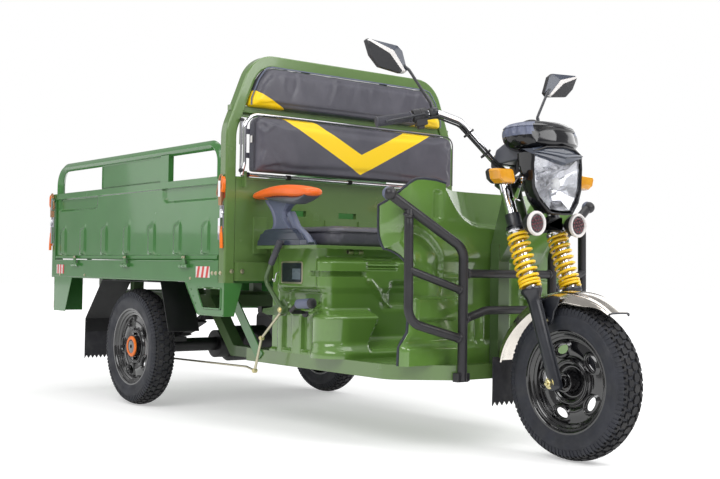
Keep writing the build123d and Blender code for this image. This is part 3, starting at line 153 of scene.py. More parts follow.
class Shape:
    """Faces of one piece. Points pass through `place`, which turns them into vehicle millimetres."""

    def __init__(self, place=None):
        self.bm = bmesh.new()
        self.paint = 0
        self.place = place

    def vertex(self, point):
        x, y, z = self.place(*point) if self.place else point
        return self.bm.verts.new(at(x, y, z))

    def face(self, corners):
        face = self.bm.faces.new(corners)
        face.material_index = self.paint
        face.smooth = True
        return face

    def skin(self, rows, wrap=True, caps=True, ring=False):
        """Faces between rows of points. wrap closes each row; ring joins the last row to the first."""
        grid = [[self.vertex(point) for point in row] for row in rows]
        count = len(grid[0])
        pairs = list(zip(grid, grid[1:])) + ([(grid[-1], grid[0])] if ring else [])
        for a, b in pairs:
            for i in range(count if wrap else count - 1):
                j = (i + 1) % count
                self.face([a[i], a[j], b[j], b[i]])
        if caps and wrap and not ring:
            self.face(grid[0][::-1])
            self.face(grid[-1])

    def sweep(self, path, section):
        """A section of (side, up) pairs carried along a path."""
        path = [Vector(p) for p in path]
        ways = [(after - before).normalized()
                for before, after in zip(path[:1] + path[:-1], path[1:] + path[-1:])]
        side = ways[0].orthogonal().normalized()
        if abs(ways[0].z) < 0.9:
            side = ways[0].cross(Vector((0, 0, 1))).normalized()
        rows = []
        for point, way in zip(path, ways):
            side = (side - way * side.dot(way)).normalized()
            up = side.cross(way)
            rows.append([point + side * a + up * b for a, b in section])
        self.skin(rows)

    def tube(self, points, radius, bends=None, sides=16):
        """Round tube along straight runs with rounded corners."""
        self.sweep(rounded(points, bends), circle(radius, sides))

    def lathe(self, profile, start, axis, sides=40, ring=False):
        """(along, radius) pairs turned about an axis through start."""
        axis = Vector(axis).normalized()
        side = axis.orthogonal().normalized()
        if abs(axis.y) > 0.9:
            side = Vector((1, 0, 0))
        up = axis.cross(side)
        start = Vector(start)
        rows = []
        for along, radius in profile:
            rows.append([start + axis * along + side * (radius * a) + up * (radius * b)
                         for a, b in circle(1, sides)])
        self.skin(rows, ring=ring)

    def prism(self, outline, plane, low, high, inset=0):
        """Outline in the xz, yz or xy plane, between two values of the third axis.

        inset is the share by which the high end draws in to the outline's middle. Over 1 it
        comes out on the other side, turned round.
        """
        def lifted(pair, value):
            a, b = pair
            return {"xz": (a, value, b), "yz": (value, a, b), "xy": (a, b, value)}[plane]
        middle = [sum(p[i] for p in outline) / len(outline) for i in (0, 1)]
        drawn = [(a + (middle[0] - a) * inset, b + (middle[1] - b) * inset) for a, b in outline]
        self.skin([[lifted(p, low) for p in outline], [lifted(p, high) for p in drawn]])

    def block(self, x, y, z):
        self.prism([(x[0], z[0]), (x[1], z[0]), (x[1], z[1]), (x[0], z[1])], "xz", *y)

    def ball(self, centre, radius, squash=(1, 1, 1), sides=20):
        """Ball, drawn out or flattened along the axes."""
        rows = []
        rings = sides // 2
        for i in range(1, rings):
            tilt = math.pi * i / rings
            rows.append([(centre[0] + radius * squash[0] * a * math.sin(tilt),
                          centre[1] + radius * squash[1] * b * math.sin(tilt),
                          centre[2] - radius * squash[2] * math.cos(tilt))
                         for a, b in circle(1, sides)])
        self.skin(rows)

    def bolt(self, centre, axis, radius=7, height=5):
        """Hexagon head on a washer."""
        self.lathe([(0, radius * 1.35), (1.2, radius * 1.35)], centre, axis, sides=18)
        self.lathe([(1.2, radius), (height - 0.8, radius), (height, radius * 0.88)], centre, axis, sides=6)

    def mirror(self):
        """Add the same faces on the other side of the vehicle."""
        copy = bmesh.ops.duplicate(self.bm, geom=self.bm.verts[:] + self.bm.edges[:] + self.bm.faces[:])
        verts = [g for g in copy["geom"] if isinstance(g, bmesh.types.BMVert)]
        faces = [g for g in copy["geom"] if isinstance(g, bmesh.types.BMFace)]
        for vert in verts:
            vert.co.y = -vert.co.y
        bmesh.ops.reverse_faces(self.bm, faces=faces)
        return self

    def piece(self, name, body, paints, slot, replaces=(), bevel=0, smooth=0, sharp=38, segments=2):
        """Finish the shape as one piece that rides on a body."""
        bmesh.ops.remove_doubles(self.bm, verts=self.bm.verts[:], dist=2e-5)
        bmesh.ops.recalc_face_normals(self.bm, faces=self.bm.faces[:])
        if not smooth:
            for edge in self.bm.edges:
                if len(edge.link_faces) == 2 and edge.calc_face_angle() > math.radians(sharp):
                    edge.smooth = bevel > 0
        mesh = bpy.data.meshes.new(name)
        self.bm.to_mesh(mesh)
        self.bm.free()
        for paint in paints if isinstance(paints, (list, tuple)) else [paints]:
            mesh.materials.append(paint)
        piece = bpy.data.objects.new(name, mesh)
        bpy.context.scene.collection.objects.link(piece)
        if bevel:
            modifier = piece.modifiers.new("bevel", "BEVEL")
            modifier.width = bevel * MM
            modifier.segments = segments
            modifier.limit_method = "ANGLE"
            modifier.angle_limit = math.radians(sharp)
            modifier.harden_normals = True
        if smooth:
            modifier = piece.modifiers.new("smooth", "SUBSURF")
            modifier.levels = smooth
            modifier.render_levels = smooth
        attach(piece, body)
        if replaces:
            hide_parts(*([replaces] if isinstance(replaces, str) else replaces))
        return piece


def cuts(low, high, step, marks=()):
    """Grid values from low to high at about a step, with exact values at the marks."""
    values = {round(low, 3), round(high, 3)} | {round(m, 3) for m in marks if low < m < high}
    for value in spread(low, high, max(2, round((high - low) / step) + 1)):
        if all(abs(value - other) > step * 0.35 for other in values):
            values.add(round(value, 3))
    return sorted(values)


def around(marks, width):
    """Each mark, a little before and a little after it."""
    return [mark + side for mark in marks for side in (-width, 0, width)]


def sheet(shape, front, back):
    """Closed sheet between two grids of points with the same rows and columns."""
    grids = [[[shape.vertex(p) for p in row] for row in grid] for grid in (front, back)]
    rows, columns = len(front), len(front[0])
    for side, grid in enumerate(grids):
        for a, b in zip(grid, grid[1:]):
            for j in range(columns - 1):
                corners = [a[j], a[j + 1], b[j + 1], b[j]]
                shape.face(corners[::-1] if side else corners)
    outer, inner = grids
    rim = [(0, j) for j in range(columns)] + [(i, columns - 1) for i in range(1, rows)]
    rim += [(rows - 1, j) for j in range(columns - 2, -1, -1)] + [(i, 0) for i in range(rows - 2, 0, -1)]
    for (a, b), (c, d) in zip(rim, rim[1:] + rim[:1]):
        shape.face([outer[c][d], outer[a][b], inner[a][b], inner[c][d]])


def pressed(shape, across, up, point, relief, thickness):
    """Pressed sheet: point(a, b, out) gives the place, relief(a, b) how far it stands out there."""
    front = [[point(a, b, relief(a, b)) for a in across] for b in up]
    back = [[point(a, b, relief(a, b) - thickness) for a in across] for b in up]
    sheet(shape, front, back)


def plateau(value, low, high, ramp):
    """1 between low and high, falling to 0 over a ramp outside them."""
    return smooth(value, low - ramp, low) * (1 - smooth(value, high, high + ramp))


# ---------------------------------------------------------------- materials
def linear(colour):
    """Linear colour of an sRGB colour given as 0 to 255."""
    shares = [c / 255 for c in colour]
    return tuple(c / 12.92 if c <= 0.04045 else ((c + 0.055) / 1.055) ** 2.4 for c in shares) + (1.0,)


class Finish:
    """One procedural material and the few node recipes that all of them use."""

    def __init__(self, name, colour, rough, metal=0.0, **sockets):
        self.material = bpy.data.materials.new(name)
        self.material.use_nodes = True
        self.nodes = self.material.node_tree.nodes
        self.links = self.material.node_tree.links
        self.shader = self.nodes["Principled BSDF"]
        self.colour = linear(colour)
        self.rough = rough
        self.shader.inputs["Base Color"].default_value = self.colour
        self.shader.inputs["Roughness"].default_value = rough
        self.shader.inputs["Metallic"].default_value = metal
        for socket, value in sockets.items():
            self.shader.inputs[socket.replace("_", " ")].default_value = value
        self.place = self.nodes.new("ShaderNodeTexCoord").outputs["Object"]
        self.paint = None
        self.height = None

    def node(self, kind, **settings):
        node = self.nodes.new("ShaderNode" + kind)
        for key, value in settings.items():
            setattr(node, key, value)
        return node

    def put(self, node, socket, value):
        """Link a socket, or set its value."""
        if isinstance(value, bpy.types.NodeSocket):
            self.links.new(value, node.inputs[socket])
        else:
            node.inputs[socket].default_value = value

    def math(self, operation, a, b=0.0, c=0.0):
        node = self.node("Math", operation=operation)
        for i, value in enumerate((a, b, c)):
            self.put(node, i, value)
        return node.outputs[0]

    def noise(self, scale, detail=3.0, stretch=(1, 1, 1), rough=0.55):
        mapping = self.node("Mapping")
        self.put(mapping, "Vector", self.place)
        mapping.inputs["Scale"].default_value = stretch
        node = self.node("TexNoise")
        self.put(node, "Vector", mapping.outputs[0])
        self.put(node, "Scale", scale)
        self.put(node, "Detail", detail)
        self.put(node, "Roughness", rough)
        return node.outputs["Fac"]

    def cells(self, scale, feature="F1"):
        node = self.node("TexVoronoi", feature=feature)
        self.put(node, "Vector", self.place)
        self.put(node, "Scale", scale)
        return node.outputs["Distance"]

    def span(self, value, low, high, to_low=0.0, to_high=1.0):
        node = self.node("MapRange", interpolation_type="SMOOTHSTEP")
        for i, item in enumerate((value, low, high, to_low, to_high)):
            self.put(node, i, item)
        return node.outputs[0]

    def mix(self, share, a, b):
        node = self.node("Mix", data_type="RGBA")
        self.put(node, 0, share)
        self.put(node, 6, a)
        self.put(node, 7, b)
        return node.outputs[2]

    def axes(self):
        """Object coordinates in metres, as separate values."""
        node = self.node("SeparateXYZ")
        self.put(node, 0, self.place)
        return node.outputs

    def shaded(self, by):
        """The finish's own colour made lighter or darker by a share."""
        return tuple(min(1, c * (1 + by)) for c in self.colour[:3]) + (1.0,)

    def vary(self, amount, scale=7.0, stretch=(1, 1, 1)):
        """Slow drift of the colour over the surface."""
        cloud = self.span(self.noise(scale, 4, stretch), 0.3, 0.7)
        self.paint = self.mix(cloud, self.paint or self.shaded(-amount), self.shaded(amount))
        return self

    def blotch(self, colour, share, scale, low=0.55, high=0.72):
        """Patches of another colour where a noise is high."""
        patch = self.span(self.noise(scale, 5), low, high, 0.0, share)
        self.paint = self.mix(patch, self.paint or self.colour, linear(colour))
        return self

    def band(self, share, colour):
        """Another colour where share is 1."""
        self.paint = self.mix(share, self.paint or self.colour, linear(colour))
        return self

    def worn_edges(self, colour, share=0.5):
        """Rubbed colour on outer edges."""
        soft = self.node("Bevel", samples=4)
        self.put(soft, "Radius", 0.002)
        turned = self.node("VectorMath", operation="DOT_PRODUCT")
        self.put(turned, 0, soft.outputs[0])
        self.put(turned, 1, self.node("NewGeometry").outputs["True Normal"])
        patch = self.math("MULTIPLY", self.span(turned.outputs["Value"], 0.985, 0.9),
                          self.span(self.noise(60, 4), 0.4, 0.7))
        self.paint = self.mix(self.math("MULTIPLY", patch, share), self.paint or self.colour,
                              linear(colour))
        return self

    def smudge(self, amount, scale=9.0):
        """Roughness that drifts over the surface."""
        self.put(self.shader, "Roughness",
                 self.span(self.noise(scale, 4), 0.3, 0.75, max(0.02, self.rough - amount),
                           self.rough + amount))
        return self

    def grain(self, height, depth, distance):
        """Bump from a height value."""
        node = self.node("Bump")
        self.put(node, "Height", height)
        self.put(node, "Strength", depth)
        self.put(node, "Distance", distance)
        if self.height:
            self.put(node, "Normal", self.height)
        self.height = node.outputs[0]
        return self

    def edges(self, radius):
        """Softened edges on plain folded metal."""
        node = self.node("Bevel", samples=4)
        self.put(node, "Radius", radius)
        self.height = node.outputs[0]
        return self

    def done(self):
        if self.paint:
            self.put(self.shader, "Base Color", self.paint)
        if self.height:
            self.put(self.shader, "Normal", self.height)
        return self.material


def gloss_paint(name, colour, rough=0.24, coat=0.6, folded=False):
    """Stoved paint: orange peel, a slow drift of tone, a clear top layer and rubbed edges."""
    paint = Finish(name, colour, rough, Coat_Weight=coat, Coat_Roughness=0.06, Coat_IOR=1.5)
    if folded:
        paint.edges(0.0016)
    paint.vary(0.035, 5).blotch((150, 150, 120), 0.035, 3.2, 0.5, 0.8)
    paint.worn_edges((176, 178, 150), 0.25).smudge(0.04)
    return paint.grain(paint.noise(420, 2), 0.05, 0.0006).done()


def black_paint(name, colour, rough, coat=0.0, folded=False):
    """Black enamel with a little dust and orange peel."""
    paint = Finish(name, colour, rough, Coat_Weight=coat, Coat_Roughness=0.08, Coat_IOR=1.5)
    if folded:
        paint.edges(0.0012)
    paint.vary(0.18, 9).blotch((84, 82, 78), 0.12, 12, 0.52, 0.8)
    paint.worn_edges((110, 110, 108), 0.25).smudge(0.08)
    return paint.grain(paint.noise(520, 2), 0.06, 0.0005).done()


def plated(name, colour, rough, streak=(1, 1, 1), scratch=0.04):
    """Plated or polished metal with fine marks along one way and a drift of gloss."""
    metal = Finish(name, colour, rough, 1.0)
    metal.vary(0.06, 14).smudge(min(0.06, rough * 0.6), 30)
    return metal.grain(metal.noise(700, 3, streak), scratch, 0.0003).done()


def moulded(name, colour, rough, texture=900.0, depth=0.12):
    """Moulded plastic with a fine spark-eroded grain."""
    plastic = Finish(name, colour, rough)
    plastic.vary(0.08, 8).worn_edges((150, 150, 150), 0.12).smudge(0.06)
    return plastic.grain(plastic.cells(texture), depth, 0.0004).done()


def rubber(name, colour, rough=0.7, dust=0.25):
    """Rubber: dusty bloom and a faint cloth-like grain."""
    skin = Finish(name, colour, rough)
    skin.vary(0.2, 16).blotch((96, 94, 92), dust, 22, 0.45, 0.8).smudge(0.1, 20)
    skin.grain(skin.noise(900, 2), 0.25, 0.0004)
    return skin.grain(skin.noise(60, 4), 0.12, 0.001).done()


def vinyl(name, pattern=None):
    """Dark seat vinyl with a leather grain; pattern adds the sewn yellow parts."""
    skin = Finish(name, (74, 73, 83), 0.42, Coat_Weight=0.12, Coat_Roughness=0.3, Coat_IOR=1.4)
    skin.vary(0.08, 6).blotch((104, 102, 112), 0.35, 9, 0.45, 0.85)
    if pattern:
        yellow = pattern(skin)
        skin.band(yellow, (255, 212, 2))
        seam = skin.span(skin.math("ABSOLUTE", skin.math("SUBTRACT", yellow, 0.5)), 0.46, 0.5, 1.0, 0.0)
        skin.grain(seam, 0.5, -0.0012)
    skin.smudge(0.09, 12)
    skin.grain(skin.cells(520, "F1"), 0.22, 0.0007)
    return skin.grain(skin.noise(36, 3), 0.18, 0.003).done()


def inside(skin, value, edge, width=0.0007):
    """1 where value is over edge, with a narrow soft step."""
    return skin.span(skin.math("SUBTRACT", value, edge), -width, width)


def chevron(skin):
    """Broad V across the bench cushion, its point at the lower middle."""
    _, y, z = skin.axes()
    across = skin.math("ABSOLUTE", y)
    over_low = inside(skin, skin.math("SUBTRACT", z, skin.math("MULTIPLY", across, 0.5075)), 0.974)
    over_high = inside(skin, skin.math("SUBTRACT", z, skin.math("MULTIPLY", across, 0.4806)), 1.054)
    return skin.math("SUBTRACT", over_low, over_high)


def corner_triangles(skin):
    """Yellow lower corners of the upper cushion."""
    _, y, z = skin.axes()
    across = skin.math("ABSOLUTE", y)
    return inside(skin, skin.math("SUBTRACT", across,
                                  skin.math("MULTIPLY", skin.math("SUBTRACT", z, 1.209), 2.29)),
                  0.326)


def lens(name, colour, rough=0.06, ribs=None):
    """Coloured lens: glossy, slightly translucent, with moulded ribs."""
    glass = Finish(name, colour, rough, Transmission_Weight=0.25, IOR=1.49, Coat_Weight=0.5, Coat_IOR=1.5)
    glass.vary(0.1, 30)
    if ribs:
        wave = glass.node("TexWave", wave_type="BANDS", bands_direction=ribs)
        glass.put(wave, "Vector", glass.place)
        glass.put(wave, "Scale", 60.0)
        glass.grain(wave.outputs["Fac"], 0.35, 0.001)
    return glass.done()


def clear_lens():
    """Thin clear cover: mostly see-through, with glossy reflections and a faint haze."""
    cover = Finish("clear_cover", (236, 240, 246), 0.04, IOR=1.45, Transmission_Weight=1.0)
    cover.grain(cover.noise(40, 2), 0.04, 0.001)
    clear = cover.node("BsdfTransparent")
    haze = cover.span(cover.noise(18, 4), 0.3, 0.8, 0.24, 0.34)
    blend = cover.node("MixShader")
    cover.put(blend, 0, haze)
    cover.links.new(clear.outputs[0], blend.inputs[1])
    cover.links.new(cover.shader.outputs[0], blend.inputs[2])
    cover.links.new(blend.outputs[0], cover.nodes["Material Output"].inputs["Surface"])
    return cover.done()


def striped(name, first, second, start, pitch, ramp):
    """Reflective strip in slanted bands of two colours, measured along X and Z in metres."""
    strip = Finish(name, first, 0.28, Coat_Weight=0.7, Coat_Roughness=0.05, Coat_IOR=1.5)
    x, _, z = strip.axes()
    along = strip.math("ADD", strip.math("SUBTRACT", x, start), strip.math("MULTIPLY", z, ramp))
    wave = strip.math("PINGPONG", strip.math("DIVIDE", along, pitch), 0.5)
    strip.band(strip.span(wave, 0.23, 0.27), second)
    return strip.grain(strip.cells(700), 0.3, 0.0004).done()


GREEN = gloss_paint("bed_green", (66, 124, 62))
GREEN_FOLDED = gloss_paint("bed_green_folded", (66, 124, 62), folded=True)
OLIVE = gloss_paint("body_olive", (98, 136, 62), rough=0.2, coat=0.9)
OLIVE_FOLDED = gloss_paint("body_olive_folded", (96, 126, 68), folded=True)
FRAME_GREEN = gloss_paint("frame_green", (72, 96, 56), rough=0.35, coat=0.3, folded=True)
TUBE_BLACK = black_paint("tube_black", (33, 32, 36), 0.42)
FRAME_BLACK = black_paint("frame_black", (26, 26, 28), 0.5, folded=True)
LEG_BLACK = black_paint("leg_black", (31, 33, 40), 0.38, 0.15)
RIM_BLACK = black_paint("rim_black", (13, 13, 16), 0.14, 0.9)
TYRE = rubber("tyre_rubber", (38, 40, 48), 0.62, 0.18)
TREAD = rubber("tread_rubber", (30, 30, 33), 0.75, 0.3)
FLAP = rubber("flap_rubber", (44, 44, 49), 0.66, 0.3)
TRIM = rubber("trim_rubber", (40, 44, 56), 0.5, 0.1)
GRIP = rubber("grip_rubber", (66, 66, 74), 0.6, 0.2)
CHROME = plated("chrome", (222, 222, 226), 0.07, (1, 1, 1), 0.02)
STEEL = plated("polished_steel", (214, 208, 200), 0.17, (1, 12, 1), 0.1)
ZINC = plated("zinc", (190, 184, 160), 0.34, (6, 1, 1), 0.12)
BRASS = plated("brass", (206, 196, 150), 0.38)
SPRING = gloss_paint("spring_yellow", (255, 208, 14), 0.3, 0.4)
VINYL = vinyl("seat_vinyl")
VINYL_CHEVRON = vinyl("bench_vinyl", chevron)
VINYL_CORNERS = vinyl("upper_vinyl", corner_triangles)
PIPING = rubber("piping", (52, 52, 60), 0.45, 0.1)
ORANGE_PAD = moulded("orange_pad", (250, 112, 40), 0.36, 600, 0.2)
ORANGE = moulded("orange_plastic", (252, 122, 22), 0.3)
STALK = moulded("stalk_grey", (96, 102, 124), 0.4)
BLACK_PLASTIC = moulded("black_plastic", (34, 34, 38), 0.5)
POD_PLASTIC = moulded("pod_plastic", (20, 20, 24), 0.12, 900, 0.02)
GREY_PLASTIC = moulded("grey_plastic", (86, 88, 96), 0.4)
CLEAR = clear_lens()
AMBER = lens("amber_lens", (255, 172, 24), 0.1, "X")
RED_LENS = lens("red_lens", (206, 22, 26), 0.1, "Z")
WHITE_LENS = lens("white_lens", (226, 228, 232), 0.1, "Z")
BULB = lens("bulb_white", (250, 250, 246), 0.2)
REFLECTOR = plated("reflector", (200, 200, 204), 0.1)
RING_WHITE = moulded("ring_white", (232, 228, 226), 0.35)
LED_RED = lens("led_red", (120, 22, 40), 0.2)
LAMP_DARK = moulded("lamp_dark", (34, 22, 28), 0.3)
BROWN = plated("bronze_body", (168, 128, 96), 0.34)
CABLE = rubber("cable_black", (28, 28, 31), 0.5, 0.1)
PLATE_BLACK = moulded("plate_black", (28, 36, 44), 0.25)
PLATE_GREY = moulded("plate_grey", (92, 104, 112), 0.3)
LEAF_STEEL = black_paint("spring_leaf", (30, 30, 31), 0.5, folded=True)
MIRROR_SHELL = moulded("mirror_shell", (58, 64, 78), 0.22, 900, 0.03)
REAR_STRIPES = striped("rear_stripes", (214, 44, 36), (240, 232, 226), 0.006, 0.03, 0.0)
FRONT_STRIPES = striped("front_stripes", (214, 44, 36), (240, 232, 226), 0.004, 0.034, -0.25)
MARKER_BROWN = lens("marker_brown", (182, 74, 44), 0.2)


# ---------------------------------------------------------------- wheels
CROWN_RADIUS = 71.3
CROWN_CENTRE = TYRE_RADIUS - CROWN_RADIUS
TREAD_PITCHES = 46
TREAD_DEPTH = 7
SIDEWALL = [(43.6, 232), (46.5, 226), (48.2, 218), (48.8, 211), (50.3, 209), (50.4, 206), (50.2, 198),
            (48.6, 187), (47.4, 184), (46.9, 178), (45.4, 171), (44.2, 166)]


def tyre(node, body, wheel_y, wheel_x):
    """Tyre with hexagonal tread blocks, notched shoulder lugs and paired bars on the upper sidewall."""
    shape = Shape()
    base = CROWN_RADIUS - TREAD_DEPTH
    crown = [(base * math.sin(a), CROWN_CENTRE + base * math.cos(a))
             for a in [math.radians(d) for d in range(36, -37, -8)]]
    profile = [(-40, 158)] + [(-y, r) for y, r in SIDEWALL[::-1]] + crown[::-1] + SIDEWALL + [(40, 158)]
    shape.lathe(profile, (wheel_x, wheel_y, AXLE_Z), (0, 1, 0), sides=112, ring=True)
    pitch = 2 * math.pi / TREAD_PITCHES

    def tread(angle, slope, height):
        reach = CROWN_RADIUS + height
        radius = CROWN_CENTRE + reach * math.cos(math.radians(slope))
        y = reach * math.sin(math.radians(slope))
        return (wheel_x + radius * math.cos(angle), wheel_y + y, AXLE_Z + radius * math.sin(angle))

    def side(angle, radius, side_y):
        return (wheel_x + radius * math.cos(angle), wheel_y + side_y, AXLE_Z + radius * math.sin(angle))

    middle = [(-0.40, -8), (-0.08, -10), (0.22, -8.5), (0.40, -4), (0.40, 7), (0.08, 10), (-0.22, 8.5),
              (-0.40, 4)]
    quarter = [(-0.38, 13.5), (0.20, 12), (0.40, 15), (0.30, 19.5), (0.38, 25), (-0.18, 26), (-0.40, 23),
               (-0.28, 18.5)]
    shoulder = [(-0.36, 29), (0.36, 28), (0.40, 39.3), (0.16, 39.3), (0.12, 33.5), (-0.10, 33.5),
                (-0.14, 39.3), (-0.40, 39.3)]
    for i in range(TREAD_PITCHES):
        angle = pitch * i
        shape.paint = 1
        rows = [(middle, 0, 1), (quarter, 0.5, 1), (quarter, 0.5, -1), (shoulder, 0, 1), (shoulder, 0, -1)]
        for outline, offset, hand in rows:
            feet = [tread(angle + pitch * (offset + u), hand * slope, -TREAD_DEPTH - 0.5)
                    for u, slope in outline]
            tops = [tread(angle + pitch * (offset + u * 0.9), hand * slope, 0) for u, slope in outline]
            shape.skin([feet, tops])
        shape.paint = 0
        for hand in (RIGHT, LEFT):
            for low, high in ((-0.40, -0.14), (0.16, 0.40)):
                rows = []
                for radius, deep, proud in ((235, 41.5, 45.2), (226, 46, 49.2), (219, 47.6, 50.2),
                                            (214, 48, 50.3)):
                    rows.append([side(angle + pitch * low, radius, hand * deep),
                                 side(angle + pitch * low, radius, hand * proud),
                                 side(angle + pitch * high, radius, hand * proud),
                                 side(angle + pitch * high, radius, hand * deep)])
                shape.skin(rows)
    return shape.piece(node + "_tread", body, [TYRE, TREAD], "tyre_rubber", node, bevel=0.8, segments=1,
                       sharp=32)


def oval_lip(shape, centre, axis, across, along, turn, section):
    """Pressed lip round an oval: (outward, up) pairs carried round it."""
    axis = Vector(axis)
    wide = Vector((-math.sin(turn), 0, math.cos(turn)))
    narrow = Vector((math.cos(turn), 0, math.sin(turn)))
    rows = []
    for i in range(40):
        t = 2 * math.pi * i / 40
        point = Vector(centre) + wide * (along * math.cos(t)) + narrow * (across * math.sin(t))
        normal = (wide * (math.cos(t) / along) + narrow * (math.sin(t) / across)).normalized()
        rows.append([point + normal * out + axis * up for out, up in section])
    shape.skin(rows, ring=True)


def cut_ovals(piece, ovals, depth):
    """Oval holes along Y through a piece, given by centre, half sizes and turn."""
    cutter = Shape()
    for centre, across, along, turn in ovals:
        wide = Vector((-math.sin(turn), 0, math.cos(turn)))
        narrow = Vector((math.cos(turn), 0, math.sin(turn)))
        rows = []
        for y in (-depth, depth):
            rows.append([Vector(centre) + wide * (along * math.cos(t)) + narrow * (across * math.sin(t))
                         + Vector((0, y, 0)) for t in [2 * math.pi * i / 40 for i in range(40)]])
        cutter.skin(rows)
    mesh = bpy.data.meshes.new("cutter")
    bmesh.ops.recalc_face_normals(cutter.bm, faces=cutter.bm.faces[:])
    cutter.bm.to_mesh(mesh)
    cutter.bm.free()
    tool = bpy.data.objects.new("cutter", mesh)
    bpy.context.scene.collection.objects.link(tool)
    modifier = piece.modifiers.new("holes", "BOOLEAN")
    modifier.object = tool
    modifier.solver = "EXACT"
    bpy.context.view_layer.update()
    cut = bpy.data.meshes.new_from_object(piece.evaluated_get(bpy.context.evaluated_depsgraph_get()))
    piece.modifiers.remove(modifier)
    piece.data = cut
    bpy.data.objects.remove(tool)
    bpy.data.meshes.remove(mesh)


RIM_HOLE_RADIUS = 106


def rim(node, body, wheel_y, wheel_x, outward, front):
    """Pressed rim: rolled flange, stepped barrel, dished disc with five lipped ovals, hub."""
    def along(profile):
        return [(outward * a, r) for a, r in profile]

    start = (wheel_x, wheel_y, AXLE_Z)
    shape = Shape()
    face_side = [(43.2, 169.6), (44, 167), (43.6, 160), (41.5, 157), (37, 155.5), (34.5, 153), (33.6, 148),
                 (31, 145), (28, 144), (26.6, 140), (25.5, 136.5), (21, 134.5), (17, 133), (15.6, 130)]
    dish = [(17, 124), (21, 112), (22.5, 100), (20, 88), (15, 80), (13.5, 77), (16, 74.5), (21, 72),
            (23.5, 68), (24, 63), (21, 58), (12, 54), (9, 50), (8.6, 34)]
    back = [(5, 34), (5, 50), (9, 57), (17, 63), (18, 70), (9, 76), (10, 80), (16, 88), (18.5, 100),
            (17, 112), (12.6, 124), (10, 130), (8, 136), (-18, 138), (-26, 141), (-29, 147), (-36, 154),
            (-42, 157), (-44, 161), (-44, 168), (-43, 169.8), (-41, 169), (-40, 161), (-30, 157), (30, 157),
            (40, 161), (41.5, 169)]
    shape.lathe(along(face_side + dish + back), start, (0, 1, 0), sides=96, ring=True)
    disc = shape.piece(node + "_disc", body, RIM_BLACK, "rim_paint", node, bevel=0.7, segments=1, sharp=30)
    ovals = []
    for i in range(5):
        turn = math.radians(72 * i + 36)
        centre = (wheel_x + RIM_HOLE_RADIUS * math.cos(turn), wheel_y,
                  AXLE_Z + RIM_HOLE_RADIUS * math.sin(turn))
        ovals.append((centre, 15, 27, turn))
    cut_ovals(disc, ovals, 60)

    lips = Shape()
    section = [(15, -1.5), (12, 1.2), (8, 5.5), (5, 7), (2.5, 5), (1.2, 0), (0, -4), (-1.6, -7.5),
               (0, -8.5), (2.5, -3), (6, 1), (10, -3), (14, -5)]
    for centre, across, length, turn in ovals:
        middle = (centre[0], wheel_y + outward * 19.5, centre[2])
        oval_lip(lips, middle, (0, outward, 0), across, length, turn, section)
    lips.lathe(along([(22, 71), (26, 70), (27, 67), (25, 64), (22, 63)]), start, (0, 1, 0), sides=64,
               ring=True)
    if front:
        hub = [(9, 47), (14, 44), (30, 36), (44, 33), (50, 32), (52, 29), (52, 26), (46, 24), (46, 20),
               (56, 19), (60, 17), (60, 11)]
        lips.lathe(along([(8, 10)] + hub), start, (0, 1, 0), sides=48, ring=True)
        drum = [(-58, 12), (-58, 26), (-50, 30), (-44, 44), (-34, 62), (-30, 68), (-20, 72), (9, 72),
                (9, 12)]
        lips.lathe(along(drum), start, (0, 1, 0), sides=56, ring=True)
    else:
        drum = [(-40, 20), (-40, 66), (-36, 71), (-20, 73), (9, 73), (9, 20)]
        lips.lathe(along(drum), start, (0, 1, 0), sides=56, ring=True)
        cap = [(8, 46), (14, 45), (20, 43), (27, 41), (33, 39.5), (38, 38.6), (40, 36), (41, 24), (41.5, 8)]
        lips.lathe(along([(8, 8)] + cap), start, (0, 1, 0), sides=48, ring=True)
        for i in range(5):
            turn = 2 * math.pi * (i + 0.5) / 5
            lips.bolt((wheel_x + 57 * math.cos(turn), wheel_y + outward * 12, AXLE_Z + 57 * math.sin(turn)),
                      (0, outward, 0), 8, 12)
    turn = math.radians(-64)
    valve = (wheel_x + 141 * math.cos(turn), wheel_y + outward * 22, AXLE_Z + 141 * math.sin(turn))
    lean_in = (-0.35 * math.cos(turn), outward, -0.35 * math.sin(turn))
    lips.lathe([(-2, 6.5), (6, 5.5), (12, 4.2), (13, 3.4), (17, 3.4), (18, 2.6)], valve, lean_in, sides=14)
    lips.piece(node + "_hub", body, RIM_BLACK, "rim_paint", bevel=0.5, segments=1, sharp=40)
    if not front:
        ring = Shape()
        ring.lathe(along([(37, 44.5), (40, 44), (42.4, 41), (43.4, 35), (43.4, 32), (42, 29.6), (39, 29.4),
                          (37, 30)]),
                   start, (0, 1, 0), sides=56, ring=True)
        ring.piece(node + "_cap_ring", body, ORANGE, "rim_paint")


for hand, name in SIDE.items():
    tyre(f"rear_{name}_tyre", f"rear_wheel_{name}", hand * REAR_WHEEL_Y, 0)
    rim(f"rear_{name}_rim", f"rear_wheel_{name}", hand * REAR_WHEEL_Y, 0, hand, False)
tyre("front_tyre", "front_wheel", 0, WHEELBASE)
rim("front_rim", "front_wheel", 0, WHEELBASE, RIGHT, True)


# ---------------------------------------------------------------- leg shield and crash guard
SHIELD_X = edges_mm("leg_shield")[1].x
FLOOR_Z = edges_mm("leg_shield")[0].z
SHIELD_EDGE = [(285, 407), (341, 405), (378, 370), (440, 364), (567, 364), (661, 436), (745, 441),
               (812, 441)]
SHIELD_TOP = [(0, 867), (170, 867), (205, 872), (236, 884), (275, 891), (330, 893), (365, 890), (395, 873),
              (420, 846), (441, 812)]
SHOULDER = [(0, 743), (74, 745), (110, 752), (145, 768), (175, 795), (205, 832), (233, 872)]
SCOOP = [(228, 600), (238, 638), (252, 664), (275, 690), (300, 712), (330, 727), (363, 737), (440, 741)]


